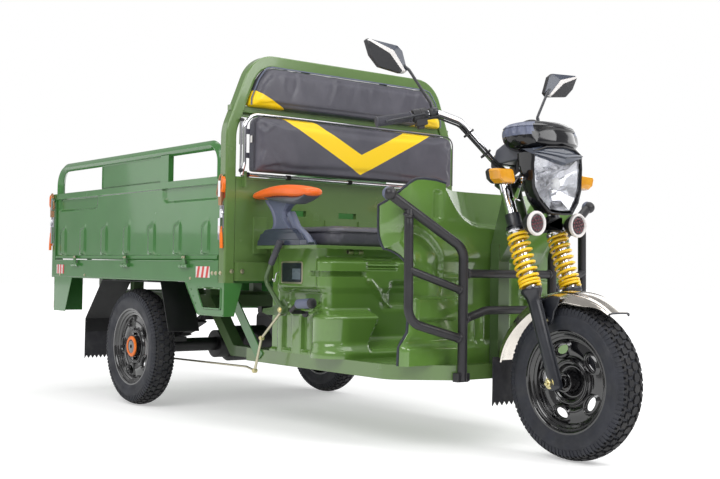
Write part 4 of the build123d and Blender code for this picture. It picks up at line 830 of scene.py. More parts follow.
def shield_relief(across, z):
    """How far the shield's face stands back from its foremost plane."""
    over = z - ease(across, SHOULDER)
    back = 0.0
    if across < 233:
        back += 13 * smooth(over, -2, 14) + 0.33 * max(0, over)
    under = ease(across, SCOOP) - z
    if across > 222:
        back += 17 * smooth(across, 222, 240) * smooth(under, -2, 16) * (1 - smooth(under, 22, 120))
    waist = smooth(z, 336, 366) * (1 - smooth(z, 575, 665))
    back += 20 * waist
    back -= 13 * waist * plateau(across, 172, 338, 7) * plateau(z, 436, 500, 6)
    back += 9 * plateau(across, 158, 345, 14) * plateau(z, 512, 560, 12)
    back -= (6 * waist * (plateau(across, 82, 88, 5) + plateau(across, 38, 43, 5))
             * (1 - smooth(z, 440, 470)))
    back += 5 * plateau(across, 262, 276, 16) * plateau(z, 775, 850, 16)
    return back


def leg_shield():
    """Moulded front shield: lobed wings that roll back at the edges, waist, flared foot."""
    shape = Shape()
    front, back = [], []
    rows = cuts(0, 1, 0.0085)
    for share in rows:
        outer_z = FLOOR_Z + share * (SHIELD_TOP[-1][1] - FLOOR_Z)
        edge = ease(outer_z, SHIELD_EDGE)
        roll = 22 + 34 * smooth(outer_z, 560, 700)
        depth = 32 + 66 * smooth(outer_z, 560, 720)
        flat = edge - roll
        half = [(flat * i / 56, 0.0) for i in range(57)]
        half += [(flat + roll * math.sin(t), t) for t in spread(0, math.pi / 2, 11)[1:]]
        row_front, row_back = [], []
        for hand in (RIGHT, LEFT):
            side_front, side_back = [], []
            for y, t in half:
                z = FLOOR_Z + share * (ease(y, SHIELD_TOP) - FLOOR_Z)
                stand = shield_relief(y, z) * math.cos(t)
                x = SHIELD_X - stand - depth * (1 - math.cos(t))
                side_front.append((x, hand * y, z))
                side_back.append((x - 4 * math.cos(t), hand * (y - 4 * math.sin(t)), z))
            if hand == RIGHT:
                row_front += side_front[::-1]
                row_back += side_back[::-1]
            else:
                row_front += side_front[1:]
                row_back += side_back[1:]
        front.append(row_front)
        back.append(row_back)
    sheet(shape, front, back)
    shape.piece("leg_shield_moulding", "chassis", OLIVE, "body_paint", "leg_shield", sharp=50)
    trim = Shape()
    for column in (0, -1):
        edge = [row[column] for row in back][::3]
        hand = RIGHT if column == 0 else LEFT
        top = [back[-1][i] for i in (range(0, 34, 2) if column == 0 else range(-1, -35, -2))]
        line = [Vector(p) + Vector((-1, hand * 1.5, 0)) for p in edge]
        line += [Vector(p) + Vector((-1, 0, 2)) for p in top[1:]]
        trim.sweep(line, [(a * 5.5, b * 8) for a, b in circle(1, 10)])
    trim.piece("leg_shield_trim", "chassis", TRIM, "grip_rubber")


def guard_caps():
    """Plastic balls on the guard's upper ends, weld beads and the toe plates under the uprights."""
    x, y, z = edges_mm("crash_guard")[0].x + 19, 480, 839
    caps = Shape()
    caps.ball((x + 4, y, z), 21.5, sides=28)
    caps.paint = 1
    caps.lathe([(-2, 20), (0, 21.8), (14, 19), (20, 13), (22, 6)], (x, y, z), (-0.9, 0.1, 0.42), sides=28)
    caps.mirror().piece("guard_end_caps", "chassis", [TUBE_BLACK, STALK], "guard_paint", bevel=0)
    beads = Shape()
    for centre, axis, radius in (((1719, 231, 535), (-0.15, 1, 0.3), 14),
                                 ((1719, 232, 378), (-0.15, 1, 0.3), 16),
                                 ((1720, 196, 588), (0, 1, 0), 15.5), ((1720, 199, 438), (0, 1, 0.3), 15.5),
                                 ((1679, 420, 772), (0.5, -0.1, 1), 15.8)):
        beads.lathe([(-5, radius - 1), (-3, radius + 1), (0, radius + 2), (3, radius + 1), (5, radius - 1)],
                    centre, axis, sides=22)
    for dy in (-13, 13):
        beads.bolt((1713, 214 + dy, 237), (0, 0, -1), 6, 5)
    beads.block((1700, 1726), (190, 238), (233, 238.5))
    beads.mirror().piece("guard_welds", "chassis", TUBE_BLACK, "guard_paint", bevel=0.6, segments=1)


leg_shield()
guard_caps()


# ---------------------------------------------------------------- seat base
BASE_BACK = edges_mm("seat_base")[0].x
BASE_HALF = 400
BASE_TOP = 668
BASE_FACE = 1190
BASE_CORNER = 34


def base_plan(s):
    """Point and outward way at a distance along the seat base's right half, from the rear."""
    side = BASE_FACE - BASE_CORNER - BASE_BACK
    turn = BASE_CORNER * math.pi / 2
    if s < side:
        return (BASE_BACK + s, -BASE_HALF), (0, -1)
    if s < side + turn:
        angle = (s - side) / BASE_CORNER
        way = (math.sin(angle), -math.cos(angle))
        return (BASE_FACE - BASE_CORNER + BASE_CORNER * way[0],
                BASE_CORNER - BASE_HALF + BASE_CORNER * way[1]), way
    return (BASE_FACE, BASE_CORNER - BASE_HALF + s - side - turn), (1, 0)


def base_relief(s, z):
    """How far the seat base's skin stands out from its plan line."""
    (x, y), way = base_plan(s)
    facing = way[0]
    side_share = 1 - facing
    across = -y
    upper = smooth(z, 506, 532) * (1 - smooth(z, 618, 642))
    slope = smooth(z, 440, 470) * (1 - smooth(z, 506, 532))
    lower = 1 - smooth(z, 440, 470)
    out = facing * 32 * upper
    # handle slot round the corner
    slot = plateau(z, 572, 586, 3) * smooth(s, 252, 262) * (1 - smooth(s, 480, 495))
    out -= 14 * slot
    # louvres near the middle
    louvre = plateau(across, 80, 218, 5) * smooth(z, 592, 596) * (1 - smooth(z, 640, 643))
    out -= 7 * louvre * (0.5 + 0.5 * math.cos(2 * math.pi * (z - 593) / 12.5))
    # waist between the blocks
    out -= side_share * 46 * slope * smooth(x, 900, 930)
    out += facing * (26 - 10 * plateau(across, 0, 120, 40)) * slope
    # diagonal ridge and the pocket beside it
    ridge = across - (108 + 1.05 * (z - 460))
    out += facing * 9 * plateau(ridge, -5, 5, 12) * plateau(z, 462, 556, 8)
    out -= facing * 16 * plateau(across, -1, 100, 10) * plateau(z, 474, 546, 6)
    # toe bulge on each side of a recessed middle
    inner = 214 + (440 - z) * 0.52
    lobe = smooth(across, inner - 10, inner + 10)
    top = 1 - smooth(z, 424, 458)
    out += facing * lower * (26 + (92 + 26 * smooth(340 - z, 0, 40)) * lobe * top)
    out += facing * lower * (1 - lobe) * 118 * (1 - smooth(z, 300, 352))
    # flutes low on the side
    for low, high, deep in ((943, 1003, 12), (1064, 1114, 15), (1122, 1172, 8)):
        out -= side_share * deep * plateau(x, low + 4, high - 4, 5) * plateau(z, 304, 424, 7)
    out -= side_share * 12 * (1 - smooth(x, 900, 912)) * plateau(z, 300, 640, 10)
    return out


def seat_base():
    """Moulded box: upper block with a handle slot and louvres, slanted waist, toe bulges, flutes."""
    side = BASE_FACE - BASE_CORNER - BASE_BACK
    turn = BASE_CORNER * math.pi / 2
    total = side + turn + BASE_HALF - BASE_CORNER
    marks = around([943 - BASE_BACK, 1003 - BASE_BACK, 1064 - BASE_BACK, 1114 - BASE_BACK, 1122 - BASE_BACK,
                    1172 - BASE_BACK], 4)
    marks += [side + turn * i / 9 for i in range(10)]
    along = cuts(0, total, 8, marks)
    heights = cuts(FLOOR_Z, BASE_TOP, 7,
                   around([572, 586, 532, 506, 458, 424, 304], 3) + list(range(590, 644, 3)))
    shape = Shape()

    def place(s, z, out):
        (x, y), way = base_plan(s)
        return (x + way[0] * out, y + way[1] * out, z)

    def mirrored(s, z, out):
        x, y, height = place(s, z, out)
        return (x, -y, height)

    pressed(shape, along, heights, place, base_relief, 4)
    pressed(shape, along, heights, mirrored, base_relief, 4)
    shape.piece("seat_base_moulding", "chassis", OLIVE, "body_paint", "seat_base", sharp=50)
    hinge = Shape()
    for y in (-260, 260):
        hinge.lathe([(-33, 4), (33, 4)], (1200, y, 658), (0, 1, 0), sides=14)
        for start in (-33, 13):
            hinge.lathe([(start, 7.4), (start + 0.6, 8), (start + 19.4, 8), (start + 20, 7.4)],
                        (1200, y, 658), (0, 1, 0), sides=18)
            hinge.block((1184, 1200), (y + start, y + start + 20), (653, 663))
    hinge.piece("seat_hinge_fixed", "chassis", ZINC, "zinc_steel", bevel=0.4, segments=1)


def seat_base_fittings():
    """Blank data plate with its rivets, loop handle and J hook."""
    plate = Shape()
    y = -BASE_HALF - 0.4
    plate.paint = 1
    plate.prism([(933, 548), (941, 540), (1064, 540), (1072, 548), (1072, 615), (1064, 623), (941, 623),
                 (933, 615)],
                "xz", y - 1.2, y, 0)
    plate.paint = 0
    plate.prism([(940, 546), (1065, 546), (1065, 617), (940, 617)], "xz", y - 1.8, y - 1)
    plate.paint = 2
    plate.prism([(1007, 556), (1059, 556), (1059, 596), (1007, 596)], "xz", y - 2.0, y - 1.7)
    plate.paint = 1
    for x in (938.5, 1066.5):
        for z in (545.5, 617.5):
            plate.lathe([(0, 3.2), (1.2, 3), (2.2, 1.6)], (x, y - 1.2, z), (0, -1, 0), sides=12)
    plate.piece("data_plate", "chassis", [PLATE_BLACK, ZINC, PLATE_GREY], "pod_plastic", bevel=0.3,
                segments=1)
    loop = Shape()
    loop.tube([(1075, y + 30, 452), (1090, y - 18, 448), (1160, y - 20, 446), (1172, y - 8, 470),
               (1150, y + 20, 476)],
              4.2, [10, 12, 10], sides=12)
    loop.piece("side_loop", "chassis", OLIVE, "body_paint")
    hook = Shape()
    hook.tube([(912, y + 6, 585), (910, y - 8, 575), (903, y - 8, 548), (893, y - 8, 546),
               (889, y - 8, 556)], 2.6,
              [6, 7, 6], sides=10)
    hook.piece("side_hook", "chassis", CHROME, "chrome")


seat_base()
seat_base_fittings()


# ---------------------------------------------------------------- folding sides and tailgate
PANEL_LOW, PANEL_HIGH = edges_mm("side_panel_left")
HINGE_LINE = (585, 600)
HINGES = (-511, 8, 522)
SIDE_REAR, SIDE_FRONT = PANEL_LOW.x, PANEL_HIGH.x
PANEL_BASE, RAIL_LINE, PANEL_TOP = 628, 912, 940
RIBS = (-720, -499, -272, -50, 184, 401, 625)
RIB_HIGH = 766


def rib_relief(along, z, ribs, width=62):
    """Pressed ribs with a slanted flank on one side and a slanted top."""
    out = 0.0
    for low in ribs:
        flank = min(1, max(0, (along - low) / 20)) * (1 - min(1, max(0, (along - low - width + 3) / 5)))
        top = RIB_HIGH + 24 * smooth(along, low + 6, low + width)
        out = max(out, flank * (1 - smooth(z, RIB_HIGH - 14, top)) * smooth(z, 646, 653))
    return out


def panel_relief(x, z):
    """Pressing of a side panel, measured from the recess under the top rail."""
    shoulder = 853 + 66 * smooth(x, -338, -302) * (1 - smooth(x, 296, 336))
    out = 9 * (1 - smooth(z, shoulder, shoulder + 9))
    out += 7 * rib_relief(x, z, RIBS)
    edge = max(smooth(z, RAIL_LINE - 3, RAIL_LINE + 2), 1 - smooth(z, 640, 645))
    out = max(out, 16 * edge)
    if -302 < x < 300:
        out = max(out, 9 * (1 - smooth(z, 930, 938)))
    return max(out, 9 * smooth(x, SIDE_FRONT - 24, SIDE_FRONT - 16),
               9 * (1 - smooth(x, SIDE_REAR + 14, SIDE_REAR + 22)))


def side_panel(hand):
    """Folding side: pressed sheet, square guard rail, framed blank plate with its post, hinge leaves."""
    name = SIDE[hand]
    shape = Shape()
    columns = cuts(SIDE_REAR, SIDE_FRONT, 14, around([-338, -302, 296, 336], 3)
                   + [edge for low in RIBS
                      for edge in (low, low + 10, low + 20, low + 40, low + 59, low + 64)]
                   + [SIDE_REAR + 14, SIDE_REAR + 22, SIDE_FRONT - 24, SIDE_FRONT - 16])
    rows = cuts(PANEL_BASE, PANEL_TOP, 9, [640, 645, 646, 653, 853, 857, 862, 909, 914, 919, 928, 930, 938])
    front = [[(x, hand * (560 + panel_relief(x, z)), z) for x in columns] for z in rows]
    back = [[(x, hand * 546.4, z) for x in columns] for z in rows]
    sheet(shape, front, back)
    rail_y = hand * (BED_HALF - 15)
    path = rounded([(SIDE_REAR + 15, rail_y, 930), (SIDE_REAR + 15, rail_y, 1063),
                    (SIDE_FRONT - 1, rail_y, 1063), (SIDE_FRONT - 1, rail_y, 930)], [85, 70])
    square = [(15, 10), (14, 13.5), (10, 15), (-10, 15), (-14, 13.5), (-15, 10), (-15, -10),
              (-14, -13.5), (-10, -15), (10, -15), (14, -13.5), (15, -10)]
    shape.sweep(path, square)
    shape.block((-283, 290), sorted((rail_y - 2, rail_y + 2)), (939, 1050))
    for x in (-279, 286):
        shape.tube([(x, rail_y + hand * 3, 944), (x, rail_y + hand * 3, 1049)], 2.4, sides=8)
    for z in (947, 1045):
        shape.tube([(-279, rail_y + hand * 3, z), (286, rail_y + hand * 3, z)], 2.4, sides=8)
    shape.prism([(290, rail_y - 12), (359, rail_y - 12), (359, rail_y + 12), (290, rail_y + 12)], "xy", 939,
                1050)
    for x in HINGES:
        y, z = HINGE_LINE
        shape.lathe([(-12, 5), (-12, 7.6), (-11.4, 8), (11.4, 8), (12, 7.6), (12, 5)], (x, hand * y, z),
                    (1, 0, 0), sides=20, ring=True)
        shape.block((x - 12, x + 12), sorted((hand * 584, hand * 588)), (z + 5, 642))
        shape.block((x - 12, x + 12), sorted((hand * 574, hand * 588)), (630, 642))
    shape.piece(f"side_panel_{name}_pressing", f"{name}_panel", GREEN, "bed_paint", f"side_panel_{name}",
                bevel=0.8, segments=1, sharp=42)
    bolts = Shape()
    for x in HINGES:
        for dx in (-7, 7):
            bolts.bolt((x + dx, hand * 587.5, 634), (0, hand, 0), 3.6, 3)
    bolts.piece(f"side_panel_{name}_rivets", f"{name}_panel", ZINC, "zinc_steel")


def tailgate():
    """Rear gate with the same pressing as the sides."""
    shape = Shape()
    half = edges_mm("tailgate")[1].y
    face = -795
    ribs = [-half + 40, -332, -134, 66, 264, 454]

    def relief(y, z):
        out = 7 + 4 * rib_relief(y, z, ribs)
        shoulder = 853 + 66 * smooth(y, -290, -254) * (1 - smooth(y, 254, 290))
        out -= 7 * smooth(z, shoulder, shoulder + 9)
        edge = max(smooth(z, RAIL_LINE - 3, RAIL_LINE + 2), 1 - smooth(z, 640, 645))
        return max(out, 11 * edge, 7 * (1 - smooth(half - abs(y), 12, 20)))

    columns = cuts(-half, half, 14, around([-290, -254, 254, 290], 3)
                   + [edge for rib in ribs for edge in (rib, rib + 10, rib + 20, rib + 59, rib + 64)])
    rows = cuts(PANEL_BASE, PANEL_TOP, 9, [640, 645, 646, 653, 853, 857, 862, 909, 914])
    front = [[(face + 11 - relief(y, z), y, z) for y in columns] for z in rows]
    back = [[(-765.4, y, z) for y in columns] for z in rows]
    sheet(shape, front, back)
    for y in (-380, 0, 380):
        shape.lathe([(-12, 5), (-12, 7.6), (-11.4, 8), (11.4, 8), (12, 7.6), (12, 5)], (-804, y, 600),
                    (0, 1, 0), sides=20, ring=True)
        shape.block((-807, -803), (y - 12, y + 12), (605, 642))
        shape.block((-807, -793), (y - 12, y + 12), (630, 642))
    shape.piece("tailgate_pressing", "rear_gate", GREEN, "bed_paint", "tailgate", bevel=0.8, segments=1,
                sharp=42)


side_panel(RIGHT)
side_panel(LEFT)
tailgate()


# ---------------------------------------------------------------- bed fittings
def latch(x, way, hand):
    """Toggle latch on a corner post: chrome loop, orange thumb piece, body, hook, curved grip."""
    name = f"{'front' if way > 0 else 'rear'}_{SIDE[hand][0]}"

    def at_post(along, out, z):
        return (x + way * along, hand * (576 + out), z)

    metal = Shape(at_post)
    metal.tube([(-38, 7, 868), (-44, 8, 872), (-22, 8, 940), (-12, 8, 944), (-4, 8, 936), (-26, 8, 866),
                (-36, 7, 864)],
               3.4, [8, 10, 8, 8, 8], sides=10)
    metal.prism([(-24, 828), (-4, 828), (-2, 905), (-12, 917), (-22, 880), (-28, 872)], "xz", 0.5, 12)
    metal.lathe([(-2, 6), (14.5, 6), (15.5, 4.5)], (-12, 0, 893), (0, 1, 0), sides=16)
    metal.lathe([(-2, 4), (13, 4), (14, 3)], (-34, 0, 868), (0, 1, 0), sides=14)
    metal.paint = 1
    metal.tube([(-13, 7, 830), (-13, 7, 812), (-3, 7, 800), (-5, 7, 786), (-14, 7, 782)], 4.2, [6, 8, 6],
               sides=10)
    metal.prism([(-19, 780), (-6, 780), (-8, 745), (-18, 742)], "xz", 1, 9)
    metal.block((-20, 0), (0.2, 2.2), (742, 828))
    metal.piece(f"latch_metal_{name}", "chassis", [BROWN, CHROME], "chrome", bevel=0.6, segments=1)
    grip = Shape(at_post)
    grip.prism([(-6, 936), (2, 936), (9, 925), (9, 890), (2, 876), (-6, 878), (-3, 900), (-8, 925)], "xz",
               1, 13)
    rows = []
    for share in spread(0, 1, 12):
        z = 752 - 84 * share
        bow = -13 + 6 * math.sin(share * 2.6) - 2 * share + 9 * share * share
        width = 7.5 - 1.5 * math.sin(share * math.pi)
        rows.append([(bow + width * a, 8 + 6.2 * b, z) for a, b in circle(1, 14)])
    grip.skin(rows)
    grip.piece(f"latch_grip_{name}", "chassis", ORANGE, "latch_handle", bevel=1.2)


def tail_lamp(hand):
    """Domed two tone lamp on a rear post and a marker at the skirt's lower corner."""
    lamp = Shape()
    y = hand * 556
    outline = circle(1, 28)
    rows = []
    for depth, grow in ((-799, 1.0), (-806, 1.0), (-818, 0.94), (-828, 0.78), (-833.5, 0.5), (-834.8, 0.2)):
        rows.append([(depth, y + 17.5 * grow * math.copysign(abs(a) ** 0.7, a),
                      740 + 49 * grow * math.copysign(abs(b) ** 0.75, b)) for a, b in outline])
    lamp.skin(rows)
    for face in lamp.bm.faces:
        middle = face.calc_center_median()
        face.material_index = 1 if middle.z / MM > 738 else 0
    lamp.piece(f"tail_lamp_{SIDE[hand]}", "chassis", [RED_LENS, WHITE_LENS],
               "tail_lens", smooth=1)
    rim_ring = Shape()
    rows = []
    for depth, grow in ((-800, 1.02), (-804, 1.06), (-808, 1.06), (-809, 1.0)):
        rows.append([(depth, y + 17 * grow * math.copysign(abs(a) ** 0.7, a),
                      740 + 48.5 * grow * math.copysign(abs(b) ** 0.75, b)) for a, b in outline])
    rim_ring.skin(rows)
    rim_ring.piece(f"tail_lamp_rim_{SIDE[hand]}", "chassis", CHROME, "lamp_shell")
    marker = Shape()
    rows = []
    for depth, grow in ((-766, 1), (-776, 1), (-784, 0.9), (-788.5, 0.6), (-790, 0.2)):
        rows.append([(depth, hand * 537 + 35 * grow * math.copysign(abs(a) ** 0.6, a),
                      408 + 16.5 * grow * math.copysign(abs(b) ** 0.6, b)) for a, b in outline])
    marker.skin(rows)
    marker.piece(f"corner_marker_{SIDE[hand]}", "chassis", AMBER, "amber_lens",
                 smooth=1)


def bed_trim():
    """Reflectors, bolts, rolled window rims, folded flanges and cable clips of the bed."""
    for name, low, high, stripes in (("rear", -740, -656, REAR_STRIPES),
                                     ("front", 604, 708, FRONT_STRIPES)):
        strip = Shape()
        for hand in (RIGHT, LEFT):
            strip.prism([(low, 556), (high, 556), (high, 599), (low, 599)], "xz",
                        *sorted((hand * 575.8, hand * 577.4)))
        strip.piece(f"reflector_{name}", "chassis", stripes, "tail_lens", bevel=0.4, segments=1)
    mark = Shape()
    mark.prism([(770, 855), (811, 855), (811, 896), (770, 896)], "xz", 575.8, 577.6)
    mark.mirror().piece("hoop_reflector", "chassis", MARKER_BROWN, "tail_lens", bevel=0.4, segments=1)
    bolts = Shape()
    for x, z in ((728, 574), (754, 574), (786, 575)):
        bolts.bolt((x, 576, z), (0, 1, 0), 6, 5)
    for y in (556, 510, 300, 150):
        bolts.bolt((833, y, 582), (1, 0, 0), 6.5, 5)
    for x in (-700, -420, 560):
        bolts.bolt((x, 576, 552), (0, 1, 0), 4.5, 4)
    bolts.mirror().piece("bed_bolts", "chassis", ZINC, "zinc_steel")
    rims = Shape()
    window = [(702, 577, 517), (792, 577, 517), (792, 577, 440), (662, 577, 440), (612, 577, 517),
              (702, 577, 517)]
    rims.tube(window, 3.2, [8, 8, 8, 8], sides=8)
    for share in (0.15, 0.42, 0.7):
        x = 556 + share * 62
        z = 524 - share * 96
        rims.ball((x, 577, z), 5, (1.6, 0.5, 0.7), sides=10)
    rims.tube([(524, 575.5, 532), (620, 575.5, 416), (808, 575.5, 416)], 2.6, [12], sides=8)
    rims.mirror().piece("bracket_rims", "chassis", GREEN, "bed_paint")
    seams = Shape()
    seams.tube([(SIDE_REAR + 10, 576.4, 621), (740, 576.4, 621)], 1.8, sides=6)
    seams.tube([(-795, 576, 545), (560, 576, 541)], 1.6, sides=6)
    seams.mirror().piece("rail_folds", "chassis", GREEN, "bed_paint")


def hoop_fittings():
    """Folded lips that close the gaps under the hoop's cross rail and over the front wall."""
    lips = Shape()
    lips.prism([(779, 1190), (779, 1170), (783, 1170), (783, 1186), (802, 1186), (802, 1191)], "xz", -529,
               529)
    lips.prism([(788, 933), (788, 938.5), (790, 940), (810, 940), (812, 938), (812, 930), (808, 930),
                (808, 934)], "xz",
               -529, 529)
    lips.piece("hoop_lips", "chassis", OLIVE, "frame_paint", bevel=0.8, segments=1)


hoop_fittings()
for latch_hand in (RIGHT, LEFT):
    latch(806, 1, latch_hand)
    latch(-812, -1, latch_hand)
    tail_lamp(latch_hand)
bed_trim()


# ---------------------------------------------------------------- fork, springs and front fender
LEG_X, LEG_Y = 52, 96
BAR = [(1703, 0, 965.5), (1703, 60, 965.5), (1645, 165, 1100.5), (1620, 250, 1125.5), (1535, 435, 1083.5)]
BAR_WAY = (Vector(BAR[4]) - Vector(BAR[3])).normalized()
BAR_END = Vector(BAR[4])


def fork():
    """Lower legs with flared spring seats, chrome stanchions, clamps, risers and the axle's nuts."""
    legs, bright, nuts = Shape(lean), Shape(lean), Shape(lean)
    for y in (-LEG_Y, LEG_Y):
        hand = 1 if y > 0 else -1
        legs.lathe([(-42, 12), (-40, 17), (-35, 20.3), (-28, 21.4), (160, 21.4), (246, 21.8), (262, 24),
                    (274, 30.5), (281, 34.4), (284, 35), (290, 35), (291.6, 34),
                    (291.6, 20.4)], (LEG_X, y, 0),
                   (0, 0, 1), sides=36)
        legs.sweep([(LEG_X + 19, y - hand * 6, -14), (LEG_X + 19, y - hand * 6, 250)],
                   [(-4, -4), (4, -4), (4, 4), (-4, 4)])
        legs.lathe([(-12, 20), (-10, 24), (10, 24), (12, 20)], (45, y, -16.4), (0, 1, 0), sides=30)
        bright.lathe([(284, 19.4), (696, 20), (702, 19)], (LEG_X, y, 0), (0, 0, 1), sides=32)
        bright.lathe([(484.4, 21), (484.4, 35.4), (486, 36.4), (490, 36.4), (491.5, 35), (491.5, 21)],
                     (LEG_X, y, 0), (0, 0, 1), sides=36)
        legs.lathe([(491.5, 30), (500, 30), (502, 27), (504, 25.5), (548, 25.5), (549, 24.6), (549, 20.3)],
                   (LEG_X, y, 0), (0, 0, 1), sides=32)
        legs.lathe([(660, 21), (660, 27), (662, 28), (690, 28), (692, 27), (692, 21)], (LEG_X, y, 0),
                   (0, 0, 1), sides=32)
        bright.lathe([(692.5, 19), (700, 19), (702, 17), (704, 9)], (LEG_X, y, 0), (0, 0, 1), sides=24)
        legs.lathe([(686, 15), (766, 15)], (1.2, y * 45 / LEG_Y, 0), (0, 0, 1), sides=20)
        nuts.lathe([(hand * 15, 16), (hand * 17, 18), (hand * 20, 18), (hand * 20.4, 12)], (45, y, -16.4),
                   (0, 1, 0), sides=28)
        nuts.lathe([(hand * 20, 12.5), (hand * 29, 12.5), (hand * 31, 10), (hand * 31, 6)], (45, y, -16.4),
                   (0, 1, 0), sides=6)
        nuts.lathe([(hand * 28, 6), (hand * 37, 6), (hand * 38, 4.5)], (45, y, -16.4), (0, 1, 0), sides=16)
    for low, high in ((507, 533), (665, 687)):
        outline = [(75, -104), (79, -60), (79, 60), (75, 104), (60, 126), (38, 126), (14, 104), (-20, 40),
                   (-33, 14), (-33, -14), (-20, -40), (14, -104), (38, -126), (60, -126)]
        legs.prism(outline, "xy", low, high, 1.5)
    legs.lathe([(533, 33), (537, 33), (538, 30)], (0, 0, 0), (0, 0, 1), sides=32)
    legs.piece("fork_legs", "steering", LEG_BLACK, "black_paint", "fork", bevel=0.8, segments=1)
    bright.lathe([(687, 12), (700, 12), (702, 20), (712, 20), (714, 17)], (0, 0, 0), (0, 0, 1), sides=6)
    bright.piece("fork_stanchions", "steering", CHROME, "chrome")
    nuts.piece("front_axle_nuts", "steering", BRASS, "zinc_steel")


def fork_springs():
    """Open yellow coils, close wound at the lower end, round the stanchions."""
    coils = Shape(lean)
    for y in (-LEG_Y, LEG_Y):
        path, height, turn = [], 297.5, 0.0
        step = 1 / 22
        while height < 479.5:
            path.append((LEG_X + 32.2 * math.cos(turn * math.tau), y + 32.2 * math.sin(turn * math.tau),
                         height))
            wound = turn < 2.6
            pitch = 10.2 if wound else (21.5 if height < 462 else 14)
            turn += step
            height += pitch * step
        coils.tube(path, 4.7, sides=10)
    coils.piece("fork_spring_coils", "steering", SPRING, "spring_paint", "fork_springs")


def front_fender():
    """Polished steel arch with a crown bead, deep rolled skirts, rear rivets and curved fork brackets."""
    arch = Shape()
    half = [(0, 288), (16, 288), (20, 287), (40, 286.4), (49, 283), (55.5, 276), (59, 266), (60.5, 254),
            (61.6, 251.5), (60.6, 250)]
    outer = [(-y, r) for y, r in half[:0:-1]] + half
    inner = [(y * 0.965, r - 2.6) for y, r in outer]
    rows_out, rows_in = [], []
    for share in spread(0, 1, 70):
        angle = math.radians(51.4 + 118.8 * share)
        pinch = 1 - 0.2 * (1 - smooth(share, 0, 0.3)) + 0.16 * smooth(share, 0.6, 0.95)
        drop = 1 - 0.72 * (1 - smooth(share, 0, 0.24)) - 0.3 * smooth(share, 0.6, 1)

        def spot(y, r):
            r = 288 - (288 - r) * drop
            return (WHEELBASE + r * math.cos(angle), y * pinch, AXLE_Z + r * math.sin(angle))

        rows_out.append([spot(y, r) for y, r in outer])
        rows_in.append([spot(y, r) for y, r in inner])
    sheet(arch, rows_out, rows_in)
    arch.piece("front_fender_arch", "steering", STEEL, "fender_steel", "front_fender", sharp=60)
    tip = Shape()
    angle = math.radians(51.2)
    line = [(WHEELBASE + (287.4 - (288 - r) * 0.28) * math.cos(angle), y * 0.8,
             AXLE_Z + (287.4 - (288 - r) * 0.28) * math.sin(angle)) for y, r in outer[1:-1]]
    tip.tube(line, 3.2, sides=8)
    for hand in (RIGHT, LEFT):
        outline = [(-100, 262), (-4, 268), (-13, 240), (-26, 222), (-30, 200), (-40, 182), (-56, 176),
                   (-66, 190), (-72, 214), (-88, 238)]
        tip.prism([(WHEELBASE + x, AXLE_Z + z) for x, z in outline], "xz", *sorted((hand * 63, hand * 69)),
                  inset=0.8)
        edge = [(WHEELBASE + x, hand * 69, AXLE_Z + z)
                for x, z in ((-4, 268), (-13, 240), (-26, 222), (-30, 200), (-40, 182), (-56, 177))]
        tip.tube(edge, 3.2, [0, 10, 10, 10], sides=8)
        tip.lathe([(hand * 66, 12), (hand * 74, 12), (hand * 75, 10)], (WHEELBASE - 52, 0, AXLE_Z + 192),
                  (0, 1, 0), sides=22)
        tip.lathe([(hand * 66, 11), (hand * 82, 11)], (WHEELBASE - 74, 0, AXLE_Z + 222), (0, 1, 0),
                  sides=20)
        tip.prism([(WHEELBASE - 100, 492), (WHEELBASE - 62, 506), (WHEELBASE - 62, 512),
                   (WHEELBASE - 104, 500)], "xz",
                  *sorted((hand * 60, hand * 84)))
    tip.piece("fender_brackets", "steering", LEG_BLACK, "black_paint", bevel=0.7, segments=1)
    rivets = Shape()
    for hand in (RIGHT, LEFT):
        rivets.bolt((WHEELBASE - 282, hand * 40, 308), (-1, 0, 0.15), 4, 3)
        rivets.bolt((WHEELBASE - 52, hand * 75, AXLE_Z + 192), (0, hand, 0), 6, 5)
    rivets.piece("fender_rivets", "steering", ZINC, "zinc_steel")


def flap(name, body, x, centre, half, high, low, teeth, replaces=()):
    """Rubber flap: slightly dished sheet with cut teeth along its lower edge."""
    shape = Shape()
    for hand in ((RIGHT, LEFT) if centre else (1,)):
        columns = [centre * hand + a for a in spread(-half, half, 4 * teeth + 1)]
        front, back = [], []
        for share in spread(0, 1, 12):
            row_front, row_back = [], []
            for i, y in enumerate(columns):
                tooth = abs((i % 4) / 2 - 1)
                foot = low + 15 * (1 - tooth)
                z = high + (foot - high) * share
                bow = (1.6 * math.sin(share * 3.1) * math.cos((y - centre * hand) / half * 2.2)
                       * (1 if x < 0 else -1))
                row_front.append((x + 1.9 + bow, y, z))
                row_back.append((x - 1.9 + bow, y, z))
            front.append(row_front)
            back.append(row_back)
        sheet(shape, front, back)
    shape.piece(name, body, FLAP, "flap_rubber", replaces, sharp=50)


# ---------------------------------------------------------------- headlight and instruments
def lens_x(y):
    """Face of the headlight: two planes that meet in an upright ridge."""
    return 1931 + 30 * (1 - abs(y) / 114)


def whole(half):
    """Closed outline from its right half, listed from the foot to the top."""
    return half + [(-y, z) for y, z in half[::-1] if y]


RIM = whole([(0, 781), (52, 784), (94, 824), (114, 866), (119, 940), (114, 986), (70, 1002), (0, 1006)])
GLASS = [(0, 794), (48, 799), (86, 840), (104, 878), (109, 940), (106, 974), (54, 958), (0, 944)]


